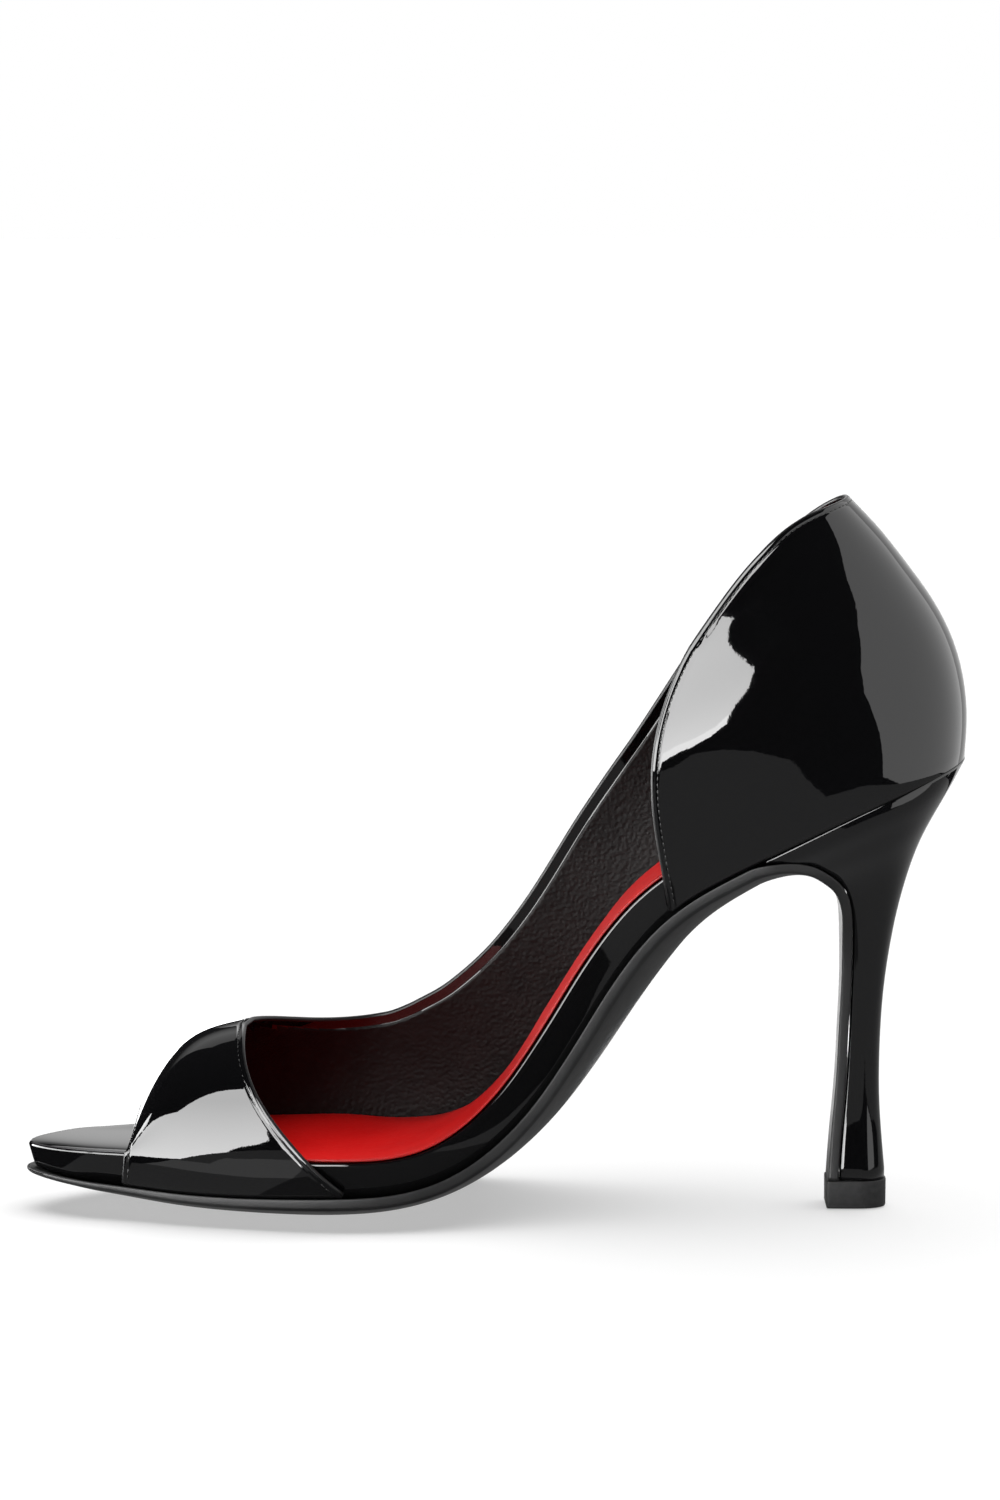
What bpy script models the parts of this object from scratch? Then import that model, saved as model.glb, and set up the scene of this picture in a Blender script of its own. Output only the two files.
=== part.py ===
"""Stiletto pump for the right foot, open at the toe and cut away along its inner side.

The shoe is laid out flat first, in millimetres: `along` runs from the toe tip to the back along the
insole, `across` is negative on the inner side of the foot, and `up` is measured from the middle of the
insole. `bend` then lays the flat shoe over the arched line of the insole.
"""

import math

import bmesh
import bpy
import numpy as np

MM = 0.001

# Driving sizes in millimetres
INSOLE_LENGTH = 264.6
BALL_WIDTH = 76.0
VAMP_HEIGHT = 33.5
HEEL_HEIGHT = 109.4
WALL = 1.8
SOCK = 0.6
TOP_PIECE = 6.6
BREAST_SOLE = 2.4
SOCK_CLEAR = 0.4
GAP = 0.3
TREAD_FLAT = 0.7
TUCK = 1.5

# Pitch of the insole line, degrees, at shares of the insole length; the heel height scales it
PITCH_COLUMNS = ("along", "pitch")
PITCH_ROWS = (
    (0.00, -4.0),
    (0.15, -5.0),
    (0.20, -4.0),
    (0.25, -1.5),
    (0.30, 5.0),
    (0.35, 18.0),
    (0.40, 35.0),
    (0.45, 49.5),
    (0.50, 59.5),
    (0.55, 61.5),
    (0.60, 57.0),
    (0.65, 48.0),
    (0.70, 35.5),
    (0.74, 29.0),
    (0.78, 27.0),
    (0.88, 25.0),
    (1.00, 21.5),
)

# Sections of the last: place as a share of the length, half widths as shares of the ball width, then in
# millimetres the lift of the insole's edges, the extra roll of its inner edge, the board's thickness, the
# sag of its underside and the outsole's thickness, and the ridge's height as a share of the vamp height
SECTION_COLUMNS = ("along", "inner", "outer", "dish", "roll", "board", "belly", "sole", "ridge")
SECTION_ROWS = (
    (0.00, 0.215, 0.140, 0.8, 0.0, 5.6, 0.3, 1.2, 1.03),
    (0.10, 0.295, 0.320, 3.0, 0.4, 7.7, 0.7, 1.8, 1.03),
    (0.14, 0.355, 0.380, 3.6, 0.9, 7.9, 0.9, 2.1, 1.03),
    (0.20, 0.425, 0.445, 4.3, 1.4, 7.5, 1.0, 2.5, 1.05),
    (0.29, 0.490, 0.505, 5.1, 1.5, 7.0, 1.2, 2.8, 1.37),
    (0.37, 0.460, 0.505, 3.3, 0.8, 7.0, 2.2, 2.8, 1.75),
    (0.46, 0.360, 0.455, 1.7, 0.5, 7.0, 4.6, 2.8, 2.09),
    (0.55, 0.295, 0.395, 0.2, 0.1, 7.0, 7.2, 2.8, 2.38),
    (0.65, 0.270, 0.355, -0.3, 0.0, 7.2, 7.7, 2.8, 2.63),
    (0.74, 0.290, 0.335, 0.0, 0.0, 7.4, 5.2, 2.8, 2.77),
    (0.82, 0.315, 0.325, 0.0, 0.0, 7.5, 3.9, 2.8, 2.84),
    (0.88, 0.320, 0.320, 0.0, 0.0, 7.5, 2.5, 2.8, 2.84),
    (1.00, 0.320, 0.320, 0.0, 0.0, 7.5, 1.2, 2.8, 2.84),
)

# How far the outer edge of the insole lies below the lift of its inner edge, millimetres
DROP_COLUMNS = ("along", "drop")
DROP_ROWS = (
    (0.22, 0.0),
    (0.28, 0.5),
    (0.35, 3.5),
    (0.39, 6.0),
    (0.42, 7.0),
    (0.52, 6.5),
    (0.59, 7.0),
    (0.65, 6.5),
    (0.74, 5.0),
    (0.85, 1.0),
    (0.93, 0.0),
)

# Height of the topline over the insole on both sides of the foot, millimetres
TOPLINE_COLUMNS = ("along", "inner", "outer")
TOPLINE_ROWS = (
    (0.19, 33.5, 33.5),
    (0.25, 30.5, 30.5),
    (0.32, 29.0, 29.0),
    (0.39, 27.5, 27.5),
    (0.46, 24.5, 24.5),
    (0.52, 19.5, 19.5),
    (0.60, 15.5, 15.5),
    (0.68, 19.5, 19.5),
    (0.76, 35.0, 31.0),
    (0.85, 50.5, 45.5),
    (0.90, 57.5, 52.0),
    (0.95, 61.0, 57.5),
    (1.00, 60.5, 60.5),
)

# Swell of the counter outside the insole's edge, by height, at its sides and at the back seam
COUNTER_COLUMNS = ("up", "side", "back")
COUNTER_ROWS = (
    (-7.5, -2.0, -1.0),
    (0.0, 0.0, 2.5),
    (10.0, 1.5, 5.5),
    (20.0, 2.0, 6.5),
    (30.0, 1.0, 5.5),
    (40.0, -1.0, 3.0),
    (50.0, -3.0, 0.0),
    (61.0, -6.0, -4.0),
)

# Covered heel, level by level: how far its front and its back lie ahead of the back of the seat, the height
# of each, its half width and how far the inner and the outer edge of its front curl up
HEEL_COLUMNS = ("front", "front_z", "back", "back_z", "half", "inner", "outer")
HEEL_ROWS = (
    (42.0, 83.6, 2.4, 104.0, 22.0, 2.4, 0.4),
    (37.0, 83.5, 5.5, 98.4, 19.5, 1.4, 0.3),
    (33.3, 82.0, 8.7, 92.6, 16.8, 0.7, 0.1),
    (30.2, 79.7, 11.4, 86.6, 13.4, 0.2, 0.0),
    (27.8, 75.7, 13.8, 79.4, 10.4, 0.0, 0.0),
    (26.8, 69.5, 16.1, 70.4, 8.4, 0.0, 0.0),
    (26.6, 60.0, 18.1, 59.0, 6.4, 0.0, 0.0),
    (27.0, 46.0, 19.4, 46.0, 5.1, 0.0, 0.0),
    (27.8, 30.0, 19.8, 30.0, 4.9, 0.0, 0.0),
    (28.8, 18.0, 19.2, 18.0, 5.4, 0.0, 0.0),
    (29.4, 9.0, 18.4, 9.0, 6.3, 0.0, 0.0),
)

# Outsole where it leaves the insole and runs down the front of the heel: how far its middle lies ahead of the
# back of the seat, its height, half width and how far its inner and its outer edge curl up
BREAST_COLUMNS = ("ahead", "z", "half", "inner", "outer")
BREAST_ROWS = (
    (44.5, 80.0, 21.8, 3.4, 0.5),
    (41.0, 80.8, 20.8, 2.5, 0.4),
    (37.3, 80.7, 19.0, 1.5, 0.2),
    (34.6, 79.6, 17.0, 0.8, 0.1),
    (32.1, 77.8, 14.6, 0.4, 0.0),
    (30.4, 75.2, 12.4, 0.1, 0.0),
    (29.6, 72.2, 10.6, 0.0, 0.0),
    (29.3, 66.0, 7.9, 0.0, 0.0),
    (29.3, 56.0, 5.9, 0.0, 0.0),
    (29.8, 44.0, 5.0, 0.0, 0.0),
    (30.5, 30.0, 4.9, 0.0, 0.0),
    (31.5, 18.0, 5.4, 0.0, 0.0),
    (32.2, 6.9, 6.4, 0.0, 0.0),
)

# Ends and edges along the insole, millimetres from the toe tip
TOE_ROUND = 20.0
HEEL_ROUND = 27.0
HEEL_START = INSOLE_LENGTH - HEEL_ROUND
THROAT = 50.6
THROAT_RUN = 26.6
PEEP_INNER = 25.0
PEEP_OUTER = 27.5
PEEP_TOP = 26.6
COUNTER_FOOT = 182.8
COUNTER_TOP = 216.2
SOCK_FRONT = 47.8
BREAST = 205.5
HEEL_FRONT = 209.0
TIP_FRONT = 32.3

# Fall of the ridge towards the open toe: its depth at one place, and the run over which it dies out
TOE_FALL = 27.0
TOE_FALL_AT = 26.0
TOE_FALL_RUN = 8.0

# Where one shape turns into another along the insole: start and end, millimetres from the toe tip
COUNTER_BLEND = (140.0, 210.0)
WELT_BLEND = (60.0, 130.0)
TIP_BLEND = (8.0, 20.0)

# Shape numbers
SQUARE = 0.87
LOW_ANGLE = -0.3
LOW_RISE = -0.2
THROAT_SWEEP = 1.84
PEEP_SWEEP = 2.0
COUNTER_SWEEP = 3.2
COUNTER_BOW = 0.9
RIDGE_ACROSS = -4.0
HEEL_CORNER = 2.3
OUTSOLE_EDGE = 0.8
OUTSOLE_TIP = 0.6
BACK_CLEAR = 0.9
TIP_INSET = 0.9
SIDE_CHANGE = 9.0

# Edge steps where the plates and the heel's seat begin or end, short of the very tip and back
BOARD_FRONT = 0.12
BOARD_BACK = 2.95
SOCK_BACK = 2.93
SEAT_BACK = 2.96
OUTSOLE_FRONT = 0.1

# Top piece: its footprint against the heel's end, at the floor and at its top
TIP_FLOOR_SHARE = 1.03
TIP_TOP_SHARE = 1.05

# Small steps along the edge and down the breast that give their directions, and the highest edge share
EDGE_STEP = 0.01
BREAST_STEP = 0.05
EDGE_SHARE_LIMIT = 1.1

# The insole line runs on past both ends, millimetres, and is worked out at this many points
LINE_BEFORE = 10.0
LINE_AFTER = 30.0
LINE_COUNT = 1200

# Facets: points in a rib below and above the insole, ribs of the upper, millimetres between a plate's rings
# with closer rings round the toe and the heel, points across a plate, and rings of the heel and the breast
LOW_COUNT = 2
HIGH_COUNT = 11
VAMP_COUNT = 10
INNER_COUNT = 10
FAN_COUNT = 9
OUTER_COUNT = 30
PLATE_SPACING = 6.6
SOCK_SPACING = 7.0
TOE_CLOSER = 1.4
HEEL_CLOSER = 1.5
PLATE_ACROSS = 8
OUTSOLE_ACROSS = 10
HEEL_LEVELS = 22
SEAT_SIDE = 3
SEAT_RIM = 8
SEAT_ACROSS = 6
BREAST_COUNT = 15


def spline(knots, values):
    """Natural cubic curve through the given values."""
    knots = np.asarray(knots, float)
    values = np.asarray(values, float)
    steps = np.diff(knots)
    slopes = np.diff(values) / steps
    matrix = np.eye(len(knots))
    right = np.zeros(len(knots))
    for i in range(1, len(knots) - 1):
        matrix[i, i - 1:i + 2] = steps[i - 1], 2 * (steps[i - 1] + steps[i]), steps[i]
        right[i] = 6 * (slopes[i] - slopes[i - 1])
    bends = np.linalg.solve(matrix, right)

    def curve(place):
        place = np.clip(place, knots[0], knots[-1])
        i = np.clip(np.searchsorted(knots, place) - 1, 0, len(steps) - 1)
        after = (knots[i + 1] - place) / steps[i]
        before = (place - knots[i]) / steps[i]
        turn = (after ** 3 - after) * bends[i] + (before ** 3 - before) * bends[i + 1]
        return after * values[i] + before * values[i + 1] + turn * steps[i] ** 2 / 6

    return curve


def steady(knots, values):
    """Smooth curve that never overshoots the given values and keeps level runs level."""
    knots = np.asarray(knots, float)
    values = np.asarray(values, float)
    steps = np.diff(knots)
    slopes = np.diff(values) / steps
    ends = np.concatenate(([slopes[0]], np.zeros(len(steps) - 1), [slopes[-1]]))
    for i in range(1, len(steps)):
        if slopes[i - 1] * slopes[i] > 0:
            ends[i] = 2 * slopes[i - 1] * slopes[i] / (slopes[i - 1] + slopes[i])

    def curve(place):
        place = np.clip(place, knots[0], knots[-1])
        i = np.clip(np.searchsorted(knots, place) - 1, 0, len(steps) - 1)
        t = (place - knots[i]) / steps[i]
        rise = values[i] + (values[i + 1] - values[i]) * t * t * (3 - 2 * t)
        lead = ends[i] * t * (1 - t) ** 2 - ends[i + 1] * t * t * (1 - t)
        return rise + lead * steps[i]

    return curve


def column(columns, rows, name):
    return np.array([row[columns.index(name)] for row in rows])


def section(name, scale=1.0):
    places = column(SECTION_COLUMNS, SECTION_ROWS, "along") * INSOLE_LENGTH
    return spline(places, column(SECTION_COLUMNS, SECTION_ROWS, name) * scale)


inner_width = section("inner", BALL_WIDTH)
outer_width = section("outer", BALL_WIDTH)
dish = section("dish")
roll = section("roll")
drop_places = column(DROP_COLUMNS, DROP_ROWS, "along") * INSOLE_LENGTH
drop = steady(drop_places, column(DROP_COLUMNS, DROP_ROWS, "drop"))
board = section("board")
belly = section("belly")
sole = section("sole")
ridge_line = section("ridge", VAMP_HEIGHT)
topline_places = column(TOPLINE_COLUMNS, TOPLINE_ROWS, "along") * INSOLE_LENGTH
topline_inner = spline(topline_places, column(TOPLINE_COLUMNS, TOPLINE_ROWS, "inner"))
topline_outer = spline(topline_places, column(TOPLINE_COLUMNS, TOPLINE_ROWS, "outer"))
counter_heights = column(COUNTER_COLUMNS, COUNTER_ROWS, "up")
counter_side = spline(counter_heights, column(COUNTER_COLUMNS, COUNTER_ROWS, "side"))
counter_back = spline(counter_heights, column(COUNTER_COLUMNS, COUNTER_ROWS, "back"))
pitch_places = column(PITCH_COLUMNS, PITCH_ROWS, "along") * INSOLE_LENGTH
pitch_curve = steady(pitch_places, column(PITCH_COLUMNS, PITCH_ROWS, "pitch"))

LINE_S = np.linspace(-LINE_BEFORE, INSOLE_LENGTH + LINE_AFTER, LINE_COUNT)


def insole_line(scale):
    """The arched middle line of the insole for one scale of the pitch, standing on the floor."""
    pitch = np.radians(pitch_curve(LINE_S)) * scale
    step = np.diff(LINE_S)
    x = np.concatenate(([0.0], np.cumsum(np.cos((pitch[1:] + pitch[:-1]) / 2) * step)))
    z = np.concatenate(([0.0], np.cumsum(np.sin((pitch[1:] + pitch[:-1]) / 2) * step)))
    tread = z - (board(LINE_S) + belly(LINE_S) + sole(LINE_S) + GAP) * np.cos(pitch)
    z = z - tread.min() - TREAD_FLAT
    return pitch, x, z


def seat_height(scale):
    pitch, x, z = insole_line(scale)
    back = np.searchsorted(LINE_S, INSOLE_LENGTH)
    return z[back] - board(INSOLE_LENGTH) * math.cos(pitch[back])


def fitted_scale():
    """Scale of the pitch that gives the heel height."""
    low, high = 0.8, 1.2
    for _ in range(40):
        middle = (low + high) / 2
        if seat_height(middle) < HEEL_HEIGHT:
            low = middle
        else:
            high = middle
    return (low + high) / 2


LINE_PITCH, LINE_X, LINE_Z = insole_line(fitted_scale())
LINE_X = LINE_X - np.interp(INSOLE_LENGTH / 2, LINE_S, LINE_X)


def bend(along, across, up):
    """Place on the finished shoe of a place on the flat shoe."""
    pitch = np.interp(along, LINE_S, LINE_PITCH)
    x = np.interp(along, LINE_S, LINE_X) - up * math.sin(pitch)
    z = np.interp(along, LINE_S, LINE_Z) + up * math.cos(pitch)
    return float(x), float(across), float(z)


def ease(start, end, place):
    t = min(max((place - start) / (end - start), 0.0), 1.0)
    return t * t * t * (t * (6 * t - 15) + 10)


def mix(first, second, share):
    return first + (second - first) * share


def ends(along):
    """How far into the rounded toe and into the rounded heel a place lies, each from 0 to 1."""
    return min(max(1 - along / TOE_ROUND, 0.0), 1.0), min(max((along - HEEL_START) / HEEL_ROUND, 0.0), 1.0)


def outline(side, step):
    """Edge of the insole: step 0 is the toe tip, 1 to 2 the sides, 3 the back."""
    if step < 1:
        along = TOE_ROUND * (1 - math.cos(step * math.pi / 2))
    elif step < 2:
        along = mix(TOE_ROUND, HEEL_START, step - 1)
    else:
        along = HEEL_START + HEEL_ROUND * max(math.cos((3 - step) * math.pi / 2), 0.0) ** (2 / HEEL_CORNER)
    toe, heel = ends(along)
    rounded = math.sqrt(1 - toe ** 2) * (1 - heel ** HEEL_CORNER) ** (1 / HEEL_CORNER)
    half = (inner_width(along) + outer_width(along)) / 2
    middle = (outer_width(along) - inner_width(along)) / 2
    return along, middle + side * half * rounded


def edge_share(along, across):
    """0 on the middle of the insole, 1 at its edge."""
    toe, heel = ends(along)
    half = (inner_width(along) + outer_width(along)) / 2
    middle = (outer_width(along) - inner_width(along)) / 2
    return min(((across - middle) / half) ** 2 + toe ** 2 + heel ** 2, EDGE_SHARE_LIMIT)


def step_at(along):
    return 1 + (along - TOE_ROUND) / (HEEL_START - TOE_ROUND)


def outward(side, step):
    """Direction out of the insole's edge."""
    before = outline(side, max(step - EDGE_STEP, 0.0))
    after = outline(side, min(step + EDGE_STEP, 3.0))
    length = math.hypot(after[0] - before[0], after[1] - before[1])
    return -side * (after[1] - before[1]) / length, side * (after[0] - before[0]) / length


def swell(step, up):
    """How far the last stands outside the insole's edge at a height."""
    along = outline(1, step)[0]
    back = math.sin(max(step - 2, 0.0) * math.pi / 2) ** 2
    counter = mix(counter_side(up), counter_back(up), back)
    forefoot = -TUCK * (min(up, 0.0) / board(along)) ** 2
    return mix(forefoot, counter, ease(*COUNTER_BLEND, along))


def edge(side, step, offset):
    along, across = outline(side, step)
    aside = outward(side, step)
    return along + aside[0] * offset, across + aside[1] * offset


def ridge(along):
    """Height of the ridge over the insole, falling towards the open toe."""
    return ridge_line(along) - TOE_FALL * math.exp((TOE_FALL_AT - along) / TOE_FALL_RUN)


def lift(side, along):
    """Height of the insole's edge over its middle."""
    return dish(along) - (drop(along) if side > 0 else 0.0)


def rise_of(side, along, angle):
    """Height over the insole's edge at an angle of the rib; a quarter turn is the ridge."""
    if angle < 0:
        return -board(along) * angle / LOW_ANGLE
    return (ridge(along) - lift(side, along)) * math.sin(angle) ** SQUARE


def rib_point(side, step, angle):
    """Outside of the last at an angle of the rib."""
    along, across = outline(side, step)
    up = rise_of(side, along, angle)
    lean = 0.0
    if angle > 0:
        reach = abs(across - RIDGE_ACROSS) * (1 - ease(*COUNTER_BLEND, along))
        lean = reach * (max(math.cos(angle), 0.0) ** SQUARE - 1)
    aside = outward(side, step) if step > 2 else (0.0, side)
    out = swell(step, up) + lean
    return bend(along + aside[0] * out, across + aside[1] * out, lift(side, along) + up)


def rib_angles(top):
    """Angles of a rib's points from the sole edge to its top."""
    below = [LOW_ANGLE * (1 - i / LOW_COUNT) for i in range(LOW_COUNT)]
    return below + [top * i / HIGH_COUNT for i in range(HIGH_COUNT + 1)]


def wall_rib(side, step_foot, step_top):
    along_top = outline(side, step_top)[0]
    height = (topline_inner if side < 0 else topline_outer)(along_top) - lift(side, along_top)
    top = math.asin(min(height / (ridge(along_top) - lift(side, along_top)), 1.0) ** (1 / SQUARE))
    points = []
    for angle in rib_angles(top):
        share = (rise_of(side, along_top, angle) + board(along_top)) / (height + board(along_top))
        share = max(share, 0.0)
        place = share ** COUNTER_SWEEP + COUNTER_BOW * share * (1 - share)
        points.append(rib_point(side, mix(step_foot, step_top, place), angle))
    return points


def vamp_rib(share):
    """Girth of the vamp from the outer sole edge over the ridge to the inner one; 1 is the open toe."""
    half = rib_angles(math.pi / 2)
    places = [(1, angle) for angle in half] + [(-1, angle) for angle in reversed(half[:-1])]
    points = []
    for side, angle in places:
        rise = math.sin(angle) ** SQUARE if angle > 0 else LOW_RISE * angle / LOW_ANGLE
        fall = (1 - rise) / (1 - LOW_RISE)
        rear = THROAT + (THROAT_RUN * fall ** THROAT_SWEEP if side < 0 else 0.0)
        front = mix(PEEP_OUTER if side > 0 else PEEP_INNER, PEEP_TOP, (1 - fall) ** PEEP_SWEEP)
        points.append(rib_point(side, step_at(mix(rear, front, share)), angle))
    return points


def upper_skin(vamp_count, inner_count, fan_count, outer_count):
    """Outside skin of the upper: wall ribs round the heel and along the outer side, then the vamp."""
    ribs = []
    for i in range(inner_count):
        share = 1 - i / inner_count
        foot = step_at(mix(HEEL_START, COUNTER_FOOT, share))
        top = step_at(mix(HEEL_START, COUNTER_TOP, share))
        ribs.append(wall_rib(-1, foot, top))
    for i in range(fan_count):
        step = 2 + i / fan_count
        ribs.append(wall_rib(-1, step, step))
    for i in range(fan_count):
        step = 3 - i / fan_count
        ribs.append(wall_rib(1, step, step))
    for i in range(outer_count):
        step = step_at(mix(HEEL_START, THROAT, i / outer_count))
        ribs.append(wall_rib(1, step, step))
    girths = [vamp_rib(i / vamp_count) for i in range(vamp_count + 1)]

    points = [point for rib in ribs for point in rib]
    size = LOW_COUNT + HIGH_COUNT + 1
    rib_index = [list(range(r * size, (r + 1) * size)) for r in range(len(ribs))]
    girth_index = []
    for girth in girths:
        girth_index.append(list(range(len(points), len(points) + len(girth))))
        points.extend(girth)
    rib_index.append(girth_index[0][:size])
    faces = []
    for strip in (rib_index, girth_index):
        for first, second in zip(strip[:-1], strip[1:]):
            for i in range(len(first) - 1):
                faces.append((first[i], second[i], second[i + 1], first[i + 1]))
    return points, faces


def ring_solid(rings):
    """Closed solid from equal rings, capped at both ends."""
    count = len(rings[0])
    points = [point for ring in rings for point in ring]
    faces = []
    for r in range(len(rings) - 1):
        for i in range(count):
            j = (i + 1) % count
            faces.append((r * count + i, r * count + j, (r + 1) * count + j, (r + 1) * count + i))
    faces.append(tuple(range(count - 1, -1, -1)))
    faces.append(tuple(range((len(rings) - 1) * count, len(rings) * count)))
    return points, faces


def outer_share(along, across):
    """0 on the inner half of the insole, 1 on the outer half, with a soft change between them."""
    middle = (outer_width(along) - inner_width(along)) / 2
    return ease(middle - SIDE_CHANGE, middle + SIDE_CHANGE, across)


def bottom_up(along, across):
    """Underside of the insole board over its width."""
    share = edge_share(along, across)
    rise = mix(lift(-1, along), lift(1, along), outer_share(along, across))
    return -board(along) + rise * share - belly(along) * (1 - share)


def top_up(along, across):
    """Top of the insole board over its width."""
    rise = mix(lift(-1, along) + roll(along), lift(1, along), outer_share(along, across))
    return rise * edge_share(along, across)


def layer_rings(steps, offsets, surfaces, count):
    """Rings of a plate between two surfaces; offsets gives its edge at the top, middle and bottom."""
    rings = []
    for step in steps:
        inside = [edge(-1, step, offset) for offset in offsets(step)]
        outside = [edge(1, step, offset) for offset in offsets(step)]
        ring = []
        for i in range(count + 1):
            along = mix(inside[0][0], outside[0][0], i / count)
            across = mix(inside[0][1], outside[0][1], i / count)
            ring.append((along, across, surfaces[0](along, across)))
        along, across = outside[1]
        ring.append((along, across, (surfaces[0](along, across) + surfaces[1](along, across)) / 2))
        for i in range(count + 1):
            along = mix(outside[2][0], inside[2][0], i / count)
            across = mix(outside[2][1], inside[2][1], i / count)
            ring.append((along, across, surfaces[1](along, across)))
        along, across = inside[1]
        ring.append((along, across, (surfaces[0](along, across) + surfaces[1](along, across)) / 2))
        rings.append([bend(*place) for place in ring])
    return rings


def breast_rings(seat_back, ring_count, count):
    """Rings of the outsole down the front of the heel: rear face, outer edge, front face, inner edge."""
    spread = np.arange(len(BREAST_ROWS), dtype=float)
    curves = [spline(spread, column(BREAST_COLUMNS, BREAST_ROWS, name)) for name in BREAST_COLUMNS]
    rings = []
    for k in range(ring_count + 1):
        place = spread[-1] * k / ring_count
        ahead, z, half, inner, outer = [float(curve(place)) for curve in curves]
        back, rise = [float(curve(place + BREAST_STEP) - curve(place - BREAST_STEP)) for curve in curves[:2]]
        length = math.hypot(back, rise)
        rear = (-rise / length, -back / length)
        ring = []
        for depth, ends in ((1.0, (-1, 1)), (0.5, (1, 1)), (0.0, (1, -1)), (0.5, (-1, -1))):
            places = range(count + 1) if ends[0] != ends[1] else range(1)
            for i in places:
                side = mix(ends[0], ends[1], i / count)
                off = BREAST_SOLE * depth + (outer if side > 0 else inner) * side * side
                ring.append((seat_back - ahead + rear[0] * off, side * half, z + rear[1] * off))
        rings.append(ring)
    return rings


def steps_between(first, last, spacing):
    """Edge steps from first to last, close together round the toe and the heel."""
    stops = [first] + [stop for stop in (1.0, 2.0) if first < stop < last] + [last]
    sizes = {0: TOE_ROUND * TOE_CLOSER, 1: HEEL_START - TOE_ROUND, 2: HEEL_ROUND * HEEL_CLOSER}
    steps = []
    for start, end in zip(stops[:-1], stops[1:]):
        count = max(2, round((end - start) * sizes[int(start)] / spacing))
        steps.extend(mix(start, end, i / count) for i in range(count))
    return steps + [last]


def board_offsets(step):
    along = outline(1, step)[0]
    inset = WALL + GAP + BACK_CLEAR * math.sin(max(step - 2, 0.0) * math.pi / 2) ** 2
    inset = mix(TIP_INSET, inset, ease(*TIP_BLEND, along))
    return [swell(step, -board(along) * share) - inset - 2 * GAP * share for share in (0.0, 0.5, 1.0)]


def sock_offsets(step):
    return [board_offsets(step)[0] - GAP] * 3


def outsole_offsets(step):
    along = outline(1, step)[0]
    reach = mix(OUTSOLE_TIP, OUTSOLE_EDGE, ease(*TIP_BLEND, along))
    return [mix(reach, 0.0, ease(*WELT_BLEND, along)) - TUCK] * 3


def outsole_top(along, across):
    return bottom_up(along, across) - GAP


def outsole_bottom(along, across):
    return bottom_up(along, across) - GAP - sole(along)


def sock_bottom(along, across):
    return top_up(along, across) + SOCK_CLEAR


def sock_top(along, across):
    return top_up(along, across) + SOCK_CLEAR + SOCK


def on_floor(points):
    return [(x, y, max(z, 0.0)) for x, y, z in points]


def heel_solid(level_count, rim_count, across_count):
    """Heel lofted from the seat down to the tip; its top fits the underside of the board."""
    steps = [mix(step_at(HEEL_FRONT), 2.0, i / SEAT_SIDE) for i in range(SEAT_SIDE)]
    steps += [mix(2.0, SEAT_BACK, i / rim_count) for i in range(rim_count + 1)]
    grid = []
    for step in steps:
        low = -board(outline(1, step)[0])
        inside, outside = [edge(side, step, swell(step, low)) for side in (-1, 1)]
        row = []
        for i in range(across_count + 1):
            along = mix(inside[0], outside[0], i / across_count)
            across = mix(inside[1], outside[1], i / across_count)
            row.append((along, across, bottom_up(along, across) - GAP))
        grid.append(row)
    points = [bend(*place) for row in grid for place in row]
    width = across_count + 1
    faces = []
    for r in range(len(grid) - 1):
        for i in range(across_count):
            faces.append((r * width + i, (r + 1) * width + i, (r + 1) * width + i + 1, r * width + i + 1))
    rim = list(range(width))
    rim += [r * width + across_count for r in range(1, len(grid))]
    rim += list(range(len(grid) * width - 2, (len(grid) - 1) * width - 1, -1))
    rim += [r * width for r in range(len(grid) - 2, 0, -1)]

    seat_front = points[across_count // 2][0]
    seat_back = points[(len(grid) - 1) * width + across_count // 2][0]
    seat_half = max(points[i][1] for i in rim)
    plan = [((points[i][0] - seat_front) / (seat_back - seat_front), points[i][1] / seat_half) for i in rim]
    plan = [(0.0 if place < width else share, side) for place, (share, side) in zip(rim, plan)]
    levels = [[points[i] for i in rim]]
    spread = np.arange(1, len(HEEL_ROWS) + 1, dtype=float)
    curves = [spline(spread, column(HEEL_COLUMNS, HEEL_ROWS, name)) for name in HEEL_COLUMNS]
    for k in range(level_count + 1):
        place = mix(1.0, float(len(HEEL_ROWS)), k / level_count)
        front, front_z, behind, back_z, half, inner, outer = [float(curve(place)) for curve in curves]
        ring = []
        for share, side in plan:
            curl = (outer if side > 0 else inner) * side * side
            z = mix(front_z + curl, back_z, share)
            ring.append((seat_back - mix(front, behind, share), side * half, z))
        levels.append(ring)
    tip = TOP_PIECE + GAP
    front, front_z, behind, back_z, half, inner, outer = HEEL_ROWS[-1]
    levels.append([(seat_back - mix(front, behind, share), side * half, tip) for share, side in plan])
    footprint = [(seat_back - mix(TIP_FRONT, behind, share), side * half) for share, side in plan]
    previous = rim
    for ring in levels[1:]:
        first = len(points)
        points.extend(ring)
        current = list(range(first, first + len(ring)))
        for i in range(len(ring)):
            j = (i + 1) % len(ring)
            faces.append((previous[i], previous[j], current[j], current[i]))
        previous = current
    faces.append(tuple(previous))
    return points, faces, footprint, seat_back


def top_piece_solid(footprint):
    middle = sum(point[0] for point in footprint) / len(footprint)
    rings = []
    for share, level in ((TIP_FLOOR_SHARE, 0.0), (TIP_TOP_SHARE, TOP_PIECE)):
        rings.append([(middle + (x - middle) * share, y * share, level) for x, y in footprint])
    return ring_solid(rings)


def material(name, colour, roughness):
    made = bpy.data.materials.new(name)
    made.use_nodes = True
    shader = made.node_tree.nodes["Principled BSDF"]
    shader.inputs["Base Color"].default_value = (*colour, 1.0)
    shader.inputs["Roughness"].default_value = roughness
    return made


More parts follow.
